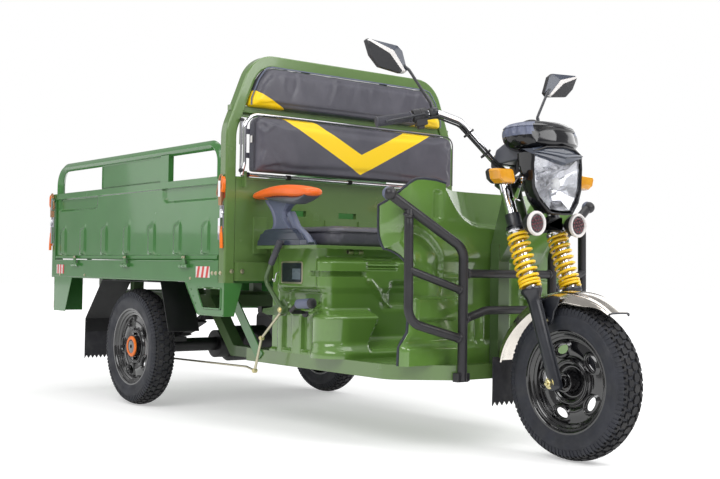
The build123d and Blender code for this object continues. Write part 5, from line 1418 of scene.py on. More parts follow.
def headlight():
    """Angular shell with a rim, V-shaped brow facets, faceted reflector, bulb and clear two-plane lens."""
    shell = Shape()
    centre_z = 898

    def ring(x, size, ridge=0.0, lean_back=0.0):
        return [(x + ridge * (lens_x(y) - 1931) - lean_back * smooth(z, 850, 990), y * size,
                 centre_z + (z - centre_z) * size) for y, z in RIM]

    rows = [ring(1866, 0.6, 0, 24), ring(1872, 0.84, 0, 26), ring(1882, 0.93, 0, 30),
            ring(1896, 0.965, 0, 26), ring(1922, 0.99, 0.7), ring(1934, 1.0, 1.0), ring(1937, 0.985, 1.0),
            ring(1936, 0.95, 1.0), ring(1928, 0.93, 0.9)]
    shell.skin(rows, caps=False)
    shell.face([shell.vertex(p) for p in rows[0]][::-1])
    shell.piece("headlight_shell", "steering", POD_PLASTIC, "pod_plastic", "headlight", bevel=1.2)
    brow = Shape()
    span = [-116, -108, -70, -35, 0, 35, 70, 108, 116]

    def line(out, over, flat=0.0, back=0.0):
        points = []
        for y in span:
            low = 944 + 28 * min(1, abs(y) / 108)
            top = 1003 - 0.16 * max(0, abs(y) - 50)
            z = low + (top - low) * over
            points.append((lens_x(y) * (1 - flat) + 1931 * flat + out - back, y * (1 - 0.03 * over), z))
        return points

    brow.skin([line(-8, -0.05), line(3, 0), line(7, 0.07), line(5, 0.32), line(11, 0.40), line(9, 0.55),
               line(2, 0.62), line(-4, 0.98), line(-10, 1.06), line(-12, 1.07, 0.6, 40),
               line(-12, 0.9, 0.6, 40)],
              wrap=False, caps=False)
    ends = [line(3, 0), line(7, 0.07), line(5, 0.32), line(11, 0.40), line(9, 0.55), line(2, 0.62),
            line(-4, 0.98), line(-12, 1.07, 0.6, 40)]
    brow.face([brow.vertex(points[-1]) for points in ends][::-1])
    brow.face([brow.vertex(points[0]) for points in ends])
    brow.piece("headlight_brow", "steering", MIRROR_SHELL, "pod_plastic", bevel=0.8, segments=1, sharp=20)
    bowl = Shape()
    outline = whole(GLASS)
    hub = [(1902, y * 0.22, 884 + (z - 884) * 0.22) for y, z in outline]
    middle = [(1914 + (6 if i % 2 else -4), y * 0.6, 884 + (z - 884) * 0.6)
              for i, (y, z) in enumerate(outline)]
    rim = [(lens_x(y) - 8, y * 0.98, 884 + (z - 884) * 0.98) for y, z in outline]
    bowl.skin([hub, middle, rim], caps=False)
    bowl.face([bowl.vertex(p) for p in hub])
    for share in (-0.5, 0.1, 0.7):
        bowl.sweep([(1918, -76, 852 + 60 * share), (1930, 34, 904 + 60 * share)],
                   [(-3, -2), (3, -2), (3, 2), (-3, 2)])
    bowl.piece("headlight_reflector", "steering", REFLECTOR, "lamp_shell", sharp=12)
    bulb = Shape()
    bulb.ball((1924, 0, 884), 17, (0.9, 0.95, 1.25), sides=24)
    bulb.piece("headlight_bulb", "steering", BULB, "lamp_shell")
    glass = Shape()
    points = whole(GLASS)
    front = [(lens_x(y) - 1, y, z) for y, z in points]
    back = [(lens_x(y) - 4, y, z) for y, z in points]
    ahead = [glass.vertex(p) for p in front]
    behind = [glass.vertex(p) for p in back]
    count = len(points)
    half = count // 2
    for verts, flip in ((ahead, 1), (behind, -1)):
        glass.face((verts[:half + 1])[::flip])
        glass.face(([verts[k] for k in range(half, count)] + [verts[0]])[::flip])
    for k in range(count):
        glass.face([ahead[k], behind[k], behind[(k + 1) % count], ahead[(k + 1) % count]])
    glass.piece("headlight_glass", "steering", CLEAR, "clear_lens", "headlight_lens", sharp=10)
    mount = Shape()
    for hand in (RIGHT, LEFT):
        mount.prism([(1838, 898), (1872, 920), (1892, 904), (1886, 888), (1870, 902), (1850, 882)], "xz",
                    *sorted((hand * 113, hand * 117)), inset=0.4)
        mount.prism([(1882, 890), (1892, 898), (1866, 832), (1850, 824), (1846, 836)], "xz",
                    *sorted((hand * 113, hand * 117)), inset=0.4)
        mount.lathe([(hand * 98, 7), (hand * 120, 7), (hand * 121, 5)], (1884, 0, 896), (0, 1, 0), sides=6)
        mount.lathe([(hand * 92, 6), (hand * 120, 6)], (1853, 0, 832), (0, 1, 0), sides=6)
        mount.prism([(1826, hand * 74), (1850, hand * 74), (1850, hand * 117), (1826, hand * 117)], "xy",
                    884, 890)
    mount.piece("headlight_brackets", "steering", CHROME, "chrome", bevel=0.6, segments=1)


POD_X = 1852


def instrument_pod():
    """Domed glossy housing with side ribs in a band painted bluish grey as a painted sky reflection, a brow
    groove, a dark recess in front and the rider's dial.
    """
    pod = Shape()
    sides = 96
    levels = [(992, 0.56), (995, 0.74), (1002, 0.87), (1012, 0.95), (1024, 0.99), (1036, 1.0),
              (1046, 0.995), (1054, 0.98), (1060, 0.962), (1062, 0.93), (1065, 0.925), (1067, 0.94),
              (1073, 0.89), (1079, 0.81), (1084, 0.7), (1088, 0.54), (1090, 0.36), (1091, 0.15)]
    rows = []
    for z, size in levels:
        row = []
        for i in range(sides):
            turn = math.tau * i / sides
            across, ahead = math.sin(turn), math.cos(turn)
            grow = size
            front = math.acos(ahead)
            inside_band = smooth(z, 1018, 1026) * (1 - smooth(z, 1054, 1060))
            grow -= 0.08 * inside_band * (1 - smooth(front, 0.8, 0.95))
            side = abs(front - 1.5)
            if side < 0.5 and 1024 < z < 1086:
                rib = 1 if i % 4 < 2 else -0.5
                grow += 0.02 * smooth(z, 1030, 1038) * (1 - smooth(z, 1078, 1084)) * rib
            x = POD_X + 104 * grow * math.copysign(abs(ahead) ** 0.9, ahead)
            y = 136 * grow * math.copysign(abs(across) ** 0.92, across)
            row.append((x - 0.3 * (z - 1045), y, z + 0.04 * (x - POD_X)))
        rows.append(row)
    pod.skin(rows)
    # faces over the side ribs take paint slot 1, a bluish grey that is a painted sky reflection and not the
    # housing's own colour
    for face in pod.bm.faces:
        centre = face.calc_center_median()
        turn = math.atan2(abs(centre.y), centre.x - AXLE_X - POD_X * MM)
        height = (centre.z - 0.04 * (centre.x - AXLE_X - POD_X * MM)) / MM
        face.material_index = 1 if 1.0 < turn < 2.0 and 1032 < height < 1082 else 0
    pod.piece("instrument_housing", "steering", [POD_PLASTIC, STALK], "pod_plastic", "instrument_pod",
              sharp=30)
    dial = Shape()
    dial.lathe([(0, 52), (8, 52), (11, 49), (11, 45)], (1790, 0, 1066), (-0.62, 0, 0.78), sides=48)
    dial.paint = 1
    dial.lathe([(5, 45), (8.5, 44)], (1790, 0, 1066), (-0.62, 0, 0.78), sides=48)
    dial.piece("instrument_dial", "steering", [BLACK_PLASTIC, PLATE_BLACK], "pod_plastic")
    stem = Shape()
    stem.prism([(1700, 968), (1712, 1006), (1760, 1030), (1812, 1022), (1836, 1000), (1810, 966),
                (1740, 958)], "xz",
               -66, 66, inset=0)
    stem.piece("instrument_cover", "steering", GREY_PLASTIC, "pod_plastic", bevel=7, segments=3)
    neck = Shape()
    neck.prism([(1800, 960), (1868, 976), (1868, 1006), (1800, 1006)], "xz", -34, 34)
    neck.prism([(1790, 905), (1870, 905), (1870, 962), (1790, 962)], "xz", -46, 46)
    neck.piece("lamp_carrier", "steering", BLACK_PLASTIC, "black_plastic", bevel=1)


def turn_signals():
    """Amber six-sided lenses on black bases and short rubber stalks."""
    amber, base = Shape(), Shape()
    outline = [(148, 884), (154, 878), (206, 877), (226, 890), (233, 917), (228, 924), (168, 926),
               (160, 922)]
    for hand in (RIGHT, LEFT):
        def ring(x, size):
            return [(x, hand * (190 + (y - 190) * size), 901 + (z - 901) * size) for y, z in outline]
        rows = [ring(1848, 0.99), ring(1880, 0.99), ring(1888, 0.94), ring(1893, 0.82), ring(1895, 0.5)]
        amber.skin(rows if hand > 0 else [row[::-1] for row in rows])
        rows = [ring(1824, 0.6), ring(1828, 0.84), ring(1838, 0.98), ring(1846, 1.02), ring(1850, 1.02),
                ring(1850.5, 0.98)]
        base.skin(rows if hand > 0 else [row[::-1] for row in rows])
        base.lathe([(hand * 76, 10), (hand * 104, 10), (hand * 112, 8), (hand * 118, 10), (hand * 124, 8),
                    (hand * 130, 10), (hand * 136, 8), (hand * 146, 11), (hand * 152, 12)], (1840, 0, 900),
                   (0, 1, 0), sides=24)
    amber.piece("signal_lenses", "steering", AMBER, "amber_lens", "turn_signals", bevel=0.8, sharp=24)
    base.piece("signal_bases", "steering", BLACK_PLASTIC, "black_plastic", bevel=0.6, segments=1)


def aux_lamps():
    """Two round lamps with pale rings and dark red dotted faces, either side of a black box."""
    body, rings, faces, dots = Shape(), Shape(), Shape(), Shape()
    for y in (-99, 99):
        start = (1934, y, 752)
        body.lathe([(-44, 14), (-42, 22), (-26, 33), (-8, 37), (-4, 37)], start, (1, 0, 0), sides=36)
        rings.lathe([(-6, 34), (-6, 38.5), (-3, 40), (3, 40), (6, 38), (6.5, 33), (3, 30), (-2, 29.5)],
                    start, (1, 0, 0), sides=44, ring=True)
        faces.lathe([(-2, 30), (1.5, 30), (4, 24), (5, 12)], start, (1, 0, 0), sides=36)
        for radius, count in ((0, 1), (11.5, 6), (22, 12)):
            for k in range(count):
                turn = math.tau * k / count + 0.2
                dots.ball((1938.5 - 0.06 * radius, y + radius * math.cos(turn),
                           752 + radius * math.sin(turn)), 4.2,
                          (0.6, 1, 1), sides=10)
        body.prism([(1878, y - 48 if y > 0 else y - 2), (1896, y - 48 if y > 0 else y - 2),
                    (1896, y + 2 if y > 0 else y + 48), (1878, y + 2 if y > 0 else y + 48)], "xy", 746, 758)
    body.prism([(1856, 734), (1860, 730), (1900, 730), (1905, 735), (1905, 774), (1900, 779), (1860, 779),
                (1856, 774)],
               "xz", -57, 57, inset=2)
    body.prism([(1830, 748), (1866, 744), (1866, 772), (1830, 772)], "xz", -44, 44)
    body.piece("aux_lamp_bodies", "steering", BLACK_PLASTIC, "lamp_shell", "aux_lamps", bevel=0.8,
               segments=1)
    rings.piece("aux_lamp_rings", "steering", RING_WHITE, "lamp_shell")
    faces.piece("aux_lamp_faces", "steering", LAMP_DARK, "tail_lens")
    dots.piece("aux_lamp_diodes", "steering", LED_RED, "tail_lens")


# ---------------------------------------------------------------- handlebar fittings and mirrors
def on_bar(along, out=(0, 0, 0)):
    """Point on the straight end of the left bar, a distance short of its end."""
    spot = BAR_END - BAR_WAY * along + Vector(out)
    return (spot.x, spot.y, spot.z)


def bar_fittings():
    """Ribbed grips, switch housings, brake levers, clamps and cables."""
    grips = Shape()
    profile = [(-7, 8), (-7, 15), (-5.5, 18.5), (-2, 18.5), (0, 16)]
    for k in range(26):
        start = 3 + k * 4.1
        profile += [(start, 15.6), (start + 0.8, 16.8), (start + 2.6, 16.8), (start + 3.4, 15.6)]
    profile += [(111, 18.5), (116, 18.5), (118, 15), (118, 11.4)]
    grips.lathe([(-along, radius) for along, radius in profile], on_bar(0), tuple(BAR_WAY), sides=26)
    grips.mirror().piece("bar_grips", "steering", GRIP, "grip_rubber", "grips")
    housing = Shape()
    housing.lathe([(-172, 13), (-171, 20), (-168, 22), (-148, 22), (-147, 20.5), (-145, 20.5), (-144, 22),
                   (-125, 22), (-122, 20), (-121, 12)], on_bar(0), tuple(BAR_WAY), sides=30)
    for start, length, drop, wide in ((166, 38, 36, 15), (154, 20, 46, 11)):
        near, far = Vector(on_bar(start)), Vector(on_bar(start - length))
        section = [(-wide, -6), (wide, -6), (wide, drop), (-wide, drop)]
        housing.sweep([near, far], [(a, -b) for a, b in section])
    housing.lathe([(-200, 11.5), (-199, 17), (-180, 17), (-179, 11.5)], on_bar(0), tuple(BAR_WAY), sides=24)
    housing.mirror().piece("switch_housings", "steering", BLACK_PLASTIC, "black_plastic", "hand_controls",
                           bevel=1)
    levers = Shape()
    knuckle = Vector(on_bar(162, (18, 4, 0)))
    rows = []
    for share in spread(0, 1, 22):
        bow = Vector((31 * share - 10 * math.sin(math.pi * share), 0, -4 * share))
        spot = knuckle + BAR_WAY * (170 * share - 6) + bow
        wide = 7.5 - 2.5 * math.sin(share * 2.6) + (3 * smooth(share, 0.93, 1.0))
        thin = 4.6 - 0.8 * share
        rows.append([(spot.x + wide * a * 0.9, spot.y + wide * a * 0.42, spot.z + thin * b)
                     for a, b in circle(1, 12)])
    levers.skin(rows)
    levers.lathe([(-7, 8), (7, 8)], tuple(knuckle), (0, 0, 1), sides=18)
    levers.mirror().piece("brake_levers", "steering", LEG_BLACK, "black_paint")
    clamps, bolts = Shape(), Shape()
    for y in (-45, 45):
        clamps.prism([(1684, 950), (1690, 944), (1716, 944), (1722, 950), (1722, 980), (1716, 986),
                      (1690, 986), (1684, 980)], "xz", y - 13, y + 13, inset=1.5)
        for x in (1691, 1715):
            bolts.bolt((x, y, 985.5), (0, 0, 1), 4.5, 5)
    clamps.piece("bar_clamps", "steering", LEG_BLACK, "black_paint", bevel=0.8, segments=1)
    bolts.bolt((1703, 0, 978), (0, 0, 1), 9, 6)
    bolts.piece("clamp_bolts", "steering", CHROME, "chrome")
    cables = Shape()
    for shift, radius, last in (((12, 4, -14), 3.6, (1742, 26, 930)), ((4, 8, -19), 3.2, (1752, 8, 905)),
                                ((-8, 2, -16), 2.8, (1736, 40, 915))):
        points = [on_bar(150, shift)]
        points += [(x + shift[0], y + shift[1] * 0.4, z + shift[2]) for x, y, z in (BAR[3], BAR[2])]
        points += [(1706 + shift[0], 74, 985 + shift[2]), last]
        cables.tube(points, radius, [30, 40, 34], sides=8)
    ties = Shape()
    for share in (0.25, 0.75):
        spot = Vector(BAR[1]).lerp(Vector(BAR[2]), share)
        way = (Vector(BAR[2]) - Vector(BAR[1])).normalized()
        ties.lathe([(-3, 21), (3, 21)], (spot.x + 2, spot.y + 3, spot.z - 6), tuple(way), sides=20)
    cables.mirror().piece("bar_cables", "steering", CABLE, "grip_rubber")
    ties.mirror().piece("cable_ties", "steering", CABLE, "grip_rubber")


def mirrors():
    """Faceted mirror heads on bent stems, with a crease painted near white as a painted highlight and glass
    on the rider's side.
    """
    stems = Shape()
    stems.tube([(1611, 257, 1122), (1598, 262, 1160), (1577, 338, 1262), (1563, 372, 1288)], 5, [16, 22],
               sides=16)
    stems.lathe([(-12, 12), (-8, 15), (8, 15), (12, 12)], (1618, 261, 1126), (-0.4, 0.9, -0.2), sides=24)
    stems.lathe([(0, 9), (14, 9), (16, 6.5), (34, 6.2)], (1611, 257, 1126), (-0.3, 0.1, 1), sides=6)
    stems.mirror().piece("mirror_stems", "steering", LEG_BLACK, "black_paint")
    head = Shape()
    outline = [(335, 1262), (347, 1252), (366, 1250), (455, 1260), (493, 1294), (512, 1340), (503, 1347),
               (380, 1340), (358, 1325)]
    crease = [(352, 1258), (366, 1256), (424, 1306), (505, 1336), (499, 1343), (408, 1318)]

    def ring(x, points, size=1.0):
        return [(x, 424 + (y - 424) * size, 1300 + (z - 1300) * size) for y, z in points]

    rows = [ring(1550, outline, 0.93), ring(1549, outline, 0.985), ring(1552, outline), ring(1563, outline),
            ring(1566, outline, 0.98)]
    head.skin(rows, caps=False)
    edge = [head.vertex(p) for p in rows[-1]]
    ridge = [head.vertex((1579 - (4 if y > 490 or y < 370 else 0), y, z)) for y, z in crease]
    head.face([edge[2], edge[3], ridge[2], ridge[1]])
    head.face([edge[3], edge[4], ridge[2]])
    head.face([edge[4], edge[5], ridge[3], ridge[2]])
    # the facets on either side of the crease are painted near white as a painted highlight
    head.paint = 2
    head.face([ridge[0], ridge[1], ridge[2], ridge[5]])
    head.face([ridge[5], ridge[2], ridge[3], ridge[4]])
    head.face([edge[1], edge[2], ridge[1], ridge[0]])
    head.face([edge[5], edge[6], ridge[4], ridge[3]])
    head.paint = 1
    head.face([edge[0], edge[1], ridge[0]])
    head.face([edge[8], edge[0], ridge[0], ridge[5]])
    head.face([edge[7], edge[8], ridge[5]])
    head.face([edge[6], edge[7], ridge[5], ridge[4]])
    head.paint = 3
    head.face([head.vertex(p) for p in ring(1551, outline, 0.93)])
    head.mirror().piece("mirror_heads", "steering", [BLACK_PLASTIC, MIRROR_SHELL, RING_WHITE, CHROME],
                        "black_plastic", "mirrors", bevel=0.9, segments=1, sharp=14)


fork()
fork_springs()
front_fender()
flap("front_flap", "steering", WHEELBASE - 284, 0, 80, 310, 147, 7, "front_mudflap")
flap("rear_flaps", "chassis", -475.5, 472.5, 70, 345, 165, 7, "rear_mudflaps")
headlight()
instrument_pod()
turn_signals()
aux_lamps()
bar_fittings()
mirrors()


# ---------------------------------------------------------------- cushions
def padded(name, body, rows, held, cap, paint, slot, node, voxel=7.0, wrinkle=None, pressure=4.0):
    """Stuffed cover: closed form, remeshed, blown up as cloth from its held face, then creased."""
    shape = Shape()
    shape.skin(rows)
    cover = shape.piece(name, body, paint, slot, node)
    bpy.context.view_layer.objects.active = cover
    remesh = cover.modifiers.new("remesh", "REMESH")
    remesh.mode = "VOXEL"
    remesh.voxel_size = voxel * MM
    settle(cover)
    start = [vertex.co.copy() for vertex in cover.data.vertices]
    out = [vertex.normal.copy() for vertex in cover.data.vertices]
    group = cover.vertex_groups.new(name="held")
    group.add([v.index for v in cover.data.vertices if held(v.co)], 1.0, "REPLACE")
    cloth = cover.modifiers.new("cloth", "CLOTH")
    cloth.settings.vertex_group_mass = "held"
    cloth.settings.use_pressure = True
    cloth.settings.uniform_pressure_force = pressure
    cloth.settings.effector_weights.gravity = 0
    cloth.settings.quality = 4
    cloth.collision_settings.use_collision = False
    cloth.collision_settings.use_self_collision = False
    scene = bpy.context.scene
    cloth.point_cache.frame_start = 1
    cloth.point_cache.frame_end = 20
    for step in range(1, 21):
        scene.frame_set(step)
    settle(cover)
    scene.frame_set(1)
    for vertex, before, way in zip(cover.data.vertices, start, out):
        move = vertex.co - before
        move -= way * min(0, move.dot(way))
        if move.length > cap * MM:
            move = move.normalized() * cap * MM
        vertex.co = before + move
    if wrinkle:
        for vertex, way in zip(cover.data.vertices, out):
            vertex.co += way * wrinkle(vertex.co) * MM
    smoother = cover.modifiers.new("smoother", "SUBSURF")
    smoother.levels = smoother.render_levels = 1
    settle(cover)
    for face in cover.data.polygons:
        face.use_smooth = True


def settle(piece):
    """Bake a piece's modifiers into its mesh."""
    depsgraph = bpy.context.evaluated_depsgraph_get()
    made = bpy.data.meshes.new_from_object(piece.evaluated_get(depsgraph), depsgraph=depsgraph)
    for material in piece.data.materials:
        if material.name not in made.materials:
            made.materials.append(material)
    piece.modifiers.clear()
    piece.data = made


def stacked(outline, low, high, edge, axis, belly=0.0):
    """Rows of an outline from its held face to its front face, with rounded edges and a slight belly."""
    centre = [sum(p[k] for p in outline) / len(outline) for k in (0, 1)]
    spans = [max(abs(p[k] - centre[k]) for p in outline) for k in (0, 1)]
    steps = [(low, -3), (low + 3, 0)]
    steps += [(low + 3 + (high - edge - low - 3) * t, belly * math.sin(math.pi * t))
              for t in (0.25, 0.5, 0.75, 1)]
    steps += [(high - edge + edge * math.sin(t), -edge * (1 - math.cos(t)))
              for t in spread(0, math.pi / 2, 6)[1:]]
    rows = []
    for along, grow in steps:
        row = []
        for a, b in outline:
            da, db = a - centre[0], b - centre[1]
            a = centre[0] + da * (1 + grow / spans[0])
            b = centre[1] + db * (1 + grow / spans[1])
            row.append((along, a, b) if axis == "x" else (a, b, along))
        rows.append(row)
    return rows


def corner_arc(centre, radius, start, count=7):
    """Quarter circle of outline points."""
    return [(centre[0] + radius * math.cos(start + t), centre[1] + radius * math.sin(start + t))
            for t in spread(0, math.pi / 2, count)]


def box_outline(half, low, high, radii):
    """Outline of a cushion from its half width, foot and top; radii are for the foot and top corners."""
    foot, top = radii
    return (corner_arc((half - foot, low + foot), foot, -math.pi / 2)
            + corner_arc((half - top, high - top), top, 0)
            + corner_arc((top - half, high - top), top, math.pi / 2)
            + corner_arc((foot - half, low + foot), foot, math.pi))


BENCH_LOW, BENCH_HIGH = edges_mm("bench_cushion")
BACK_LOW, BACK_HIGH = edges_mm("upper_backrest")
SEAT_LOW, SEAT_HIGH = edges_mm("seat_cushion")


def bump_at(value, centre, width):
    """Smooth bump of height 1."""
    return math.exp(-((value - centre) / width) ** 2)


def back_creases(co):
    """Upright creases of the upper cushion, deepest near its rounded corners."""
    y, z = co.y / MM, co.z / MM
    if (co.x - AXLE_X) / MM < BACK_LOW.x + 20:
        return 0
    high = smooth(z, BACK_LOW.z + 20, BACK_LOW.z + 100)
    out = 0.0
    for centre, width, depth in ((-330, 9, 3.0), (-296, 8, -2.6), (-262, 14, 1.6), (-120, 12, -1.2),
                                 (-96, 14, 1.2), (10, 10, -1.2), (104, 12, 1.0), (190, 10, -1.4),
                                 (268, 10, 1.4), (330, 9, -2.2)):
        drift = centre + 14 * math.sin(z * 0.035 + centre)
        out += depth * bump_at(y, drift, width) * high
    return out


def bench_creases(co):
    """Faint pulls at the bench cushion's corners and edges."""
    y, z = co.y / MM, co.z / MM
    if (co.x - AXLE_X) / MM < BENCH_LOW.x + 15:
        return 0
    out = 0.0
    for centre, foot, lean_way in ((-440, 1120, 1.4), (455, 1090, -1.2), (-390, 990, -0.8), (-60, 985, 0.5),
                                   (210, 990, -0.6)):
        drift = centre + lean_way * (z - foot)
        out += 1.3 * bump_at(y, drift, 9) * bump_at(z, foot, 36)
    return out


def seat_creases(co):
    """Pulls across the seat's front roll."""
    x, y, z = (co.x - AXLE_X) / MM, co.y / MM, co.z / MM
    front = smooth(x, SEAT_HIGH.x - 70, SEAT_HIGH.x - 10)
    out = 0.0
    for centre in (-318, -210, -96, 40, 150, 236, 322):
        out += 1.2 * bump_at(y, centre + 0.4 * (z - 720), 8) * front
    return out


def cushions():
    """The three cushions with their piping and the bench's blank label."""
    half, top = BENCH_HIGH.y, BENCH_HIGH.z
    outline = box_outline(half - 4, BENCH_LOW.z - 4, top - 3, (10, 34))
    padded("bench_cushion_cover", "bench", stacked(outline, BENCH_LOW.x, BENCH_HIGH.x - 7, 13, "x"),
           lambda co: (co.x - AXLE_X) / MM < BENCH_LOW.x + 9, 8, VINYL_CHEVRON, "seat_vinyl",
           "bench_cushion", 7.5, bench_creases)
    low, high = BACK_LOW.z - 4, BACK_HIGH.z + 9
    side = [(BACK_HIGH.y - 3, low + 3), (BACK_HIGH.y - 7, low + 30), (448, low + 105), (430, high - 28),
            (412, high - 8), (386, high - 1)]
    outline = side + [(-a, b) for a, b in side[::-1]]
    outline = thicken(outline)
    padded("upper_backrest_cover", "chassis", stacked(outline, BACK_LOW.x + 2, BACK_HIGH.x - 8, 14, "x"),
           lambda co: (co.x - AXLE_X) / MM < BACK_LOW.x + 12, 8, VINYL_CORNERS, "seat_vinyl",
           "upper_backrest", 7.5, back_creases)
    middle = (SEAT_LOW.x + SEAT_HIGH.x) / 2
    reach = (SEAT_HIGH.x - SEAT_LOW.x) / 2
    outline = thicken([(middle + a, b) for a, b in seat_plan(SEAT_HIGH.y - 8, reach - 8)])
    padded("seat_cushion_cover", "seat", stacked(outline, SEAT_LOW.z, SEAT_HIGH.z - 3, 17, "z", 3),
           lambda co: co.z / MM < SEAT_LOW.z + 9, 9, VINYL, "seat_vinyl", "seat_cushion", 8.0,
           seat_creases)
    cord = Shape()
    line = [(SEAT_LOW.x + 20, -SEAT_HIGH.y + 3, SEAT_HIGH.z - 16),
            (SEAT_HIGH.x - 2, -SEAT_HIGH.y + 3, SEAT_HIGH.z - 16),
            (SEAT_HIGH.x - 2, SEAT_HIGH.y - 3, SEAT_HIGH.z - 16),
            (SEAT_LOW.x + 20, SEAT_HIGH.y - 3, SEAT_HIGH.z - 16)]
    cord.tube(line, 3.2, [58, 58], sides=8)
    cord.piece("seat_piping", "seat", PIPING, "seat_vinyl")
    cord = Shape()
    y, x = half - 2, BENCH_HIGH.x - 9
    cord.tube([(x, -y, BENCH_LOW.z), (x, -y, top - 1), (x, y, top - 1), (x, y, BENCH_LOW.z)], 2.6, [40, 40],
              sides=8)
    cord.piece("bench_piping", "bench", PIPING, "seat_vinyl")
    cord = Shape()
    x = BACK_HIGH.x - 12
    points = [(x, a, b) for a, b in [(-BACK_HIGH.y + 4, low + 6)] + [(-a - 3, b + 2) for a, b in side[1:]]
              + [(a + 3, b + 2) for a, b in side[:0:-1]] + [(BACK_HIGH.y - 4, low + 6)]]
    cord.tube(points, 2.8, sides=8)
    cord.piece("upper_piping", "chassis", STALK, "seat_vinyl")
    label = Shape()
    label.block((866, 878), (-505.6, -504), (1064, 1090))
    label.piece("bench_label", "bench", RING_WHITE, "seat_vinyl", bevel=0.3, segments=1)


def seat_plan(half, reach):
    """Plan of the seat about its middle: straight rear and rounded front corners."""
    arc = [(reach - 62 + 62 * math.sin(t), half - 62 + 62 * math.cos(t)) for t in spread(0, math.pi / 2, 9)]
    side = [(-reach, half - 20), (20 - reach, half)] + arc
    return side + [(a, -b) for a, b in side[::-1]]


def thicken(outline, step=18):
    """Outline with points added so that none lie further apart than step."""
    out = []
    for a, b in zip(outline, outline[1:] + outline[:1]):
        count = max(1, int(math.dist(a, b) / step))
        out += [(a[0] + (b[0] - a[0]) * i / count, a[1] + (b[1] - a[1]) * i / count) for i in range(count)]
    return out


# ---------------------------------------------------------------- armrests and seat fittings
def armrest(hand):
    """Waisted moulded stalk with rims and a stepped foot, and a humped pad over a dark underside."""
    name = SIDE[hand]
    stalk = Shape()
    middle = hand * 415
    rows = []
    for z, rear, front, wide in ((852, 868, 1052, 27), (842, 872, 1034, 25), (826, 884, 1006, 20),
                                 (806, 898, 988, 17), (785, 908, 988, 16), (765, 913, 1006, 17),
                                 (748, 912, 1034, 20), (738, 902, 1056, 24)):
        rim = min(7, (front - rear) * 0.1)
        half = [(rear, -wide * 0.5), (rear + rim, -wide), (rear + 2 * rim, -wide),
                (rear + 3 * rim, -wide + 5), (front - 4 * rim, -wide + 5), (front - 3 * rim, -wide),
                (front - rim, -wide), (front, -wide * 0.5)]
        rows.append([(x, middle + y, z) for x, y in half] + [(x, middle - y, z) for x, y in half[::-1]])
    stalk.skin(rows)
    stalk.piece(f"armrest_stalk_{name}", "seat", STALK, "stalk_plastic", "armrests" if hand < 0 else (),
                bevel=1.2, sharp=16)
    foot = Shape()
    rows = []
    for z, rear, front, wide in ((742, 890, 1058, 25), (738, 872, 1072, 29), (726, 860, 1088, 31),
                                 (722, 848, 1104, 33), (702, 842, 1124, 36), (699, 838, 1134, 38),
                                 (680.5, 836, 1140, 39)):
        half = [(rear, -wide * 0.6), (rear + 10, -wide), (front - 12, -wide), (front, -wide * 0.6)]
        rows.append([(x, middle + y, z) for x, y in half] + [(x, middle - y, z) for x, y in half[::-1]])
    foot.skin(rows)
    foot.piece(f"armrest_foot_{name}", "seat", MIRROR_SHELL, "stalk_plastic", bevel=1.5, sharp=20)
    brace = Shape()
    section = [(-9, -14), (9, -14), (11, -10), (11, 10), (9, 14), (-9, 14)]
    brace.sweep([(1012, middle, 800), (1052, middle, 746), (1110, middle, 712), (1138, middle, 684)],
                [(b, a) for a, b in section])
    brace.piece(f"armrest_brace_{name}", "seat", STALK, "stalk_plastic", bevel=1.5)
    pad, under = Shape(), Shape()
    top = [(812, 876), (835, 884), (880, 893), (930, 900), (980, 903), (1030, 903), (1080, 899),
           (1130, 893), (1168, 886), (1188, 881)]
    low = [(812, 858), (840, 856), (900, 860), (960, 862), (1020, 858), (1080, 853), (1130, 852),
           (1188, 858)]
    rows = []
    for x in cuts(812, 1188, 12, []):
        over, below = ease(x, top), ease(x, low)
        end = math.sqrt(max(0.0, 1 - (abs(x - 1000) / 191) ** 12))
        wide = 10 + 32 * end
        row = []
        for a, b in circle(1, 24):
            y = wide * math.copysign(abs(a) ** 0.62, a)
            reach = (over + below) / 2 + (over - below) / 2 * math.copysign(abs(b) ** 0.7, b)
            row.append((x, hand * 429 + y, reach - 3 * (y / 42) ** 2 * (1 if b > 0 else 0)))
        rows.append(row)
    pad.skin(rows)
    cover = pad.piece(f"arm_pad_{name}", "seat", ORANGE_PAD, "arm_vinyl", "arm_pads" if hand < 0 else (),
                      smooth=1)
    rows = []
    belly = [(880, 858), (920, 848), (980, 838), (1036, 831), (1090, 829), (1130, 840), (1166, 858)]
    for x in cuts(884, 1162, 12, []):
        over, below = ease(x, low) + 5, ease(x, belly)
        row = []
        for a, b in circle(1, 20):
            y = (24 + 12 * smooth(x, 940, 1060)) * math.copysign(abs(a) ** 0.7, a)
            row.append((x, hand * 428 + y,
                        (over + below) / 2 + (over - below) / 2 * math.copysign(abs(b) ** 0.8, b)))
        rows.append(row)
    under.skin(rows)
    under.piece(f"arm_pad_under_{name}", "seat", GREY_PLASTIC, "stalk_plastic", bevel=1)


def bench_fittings():
    """Pivot bushes, stay rods and their joints at the ends of the bench's frame."""
    rods, joints = Shape(), Shape()
    rods.tube([(824, 520, 966), (826, 520, 1150)], 4.2, sides=12)
    rods.tube([(824, 520, 1060), (825, 520, 1150)], 6.5, sides=14)
    for z in (962, 1152):
        joints.ball((825, 519, z), 9, sides=14)
        joints.lathe([(-8, 5), (8, 5), (9, 4)], (830, 519, z), (1, 0, 0), sides=12)
    for y in (490, 300, 0):
        joints.lathe([(-9, 9.5), (9, 9.5)], (820, y, 948), (0, 1, 0), sides=20)
    rods.mirror().piece("bench_stays", "bench", CHROME, "chrome")
    joints.mirror().piece("bench_joints", "bench", TUBE_BLACK, "black_paint")


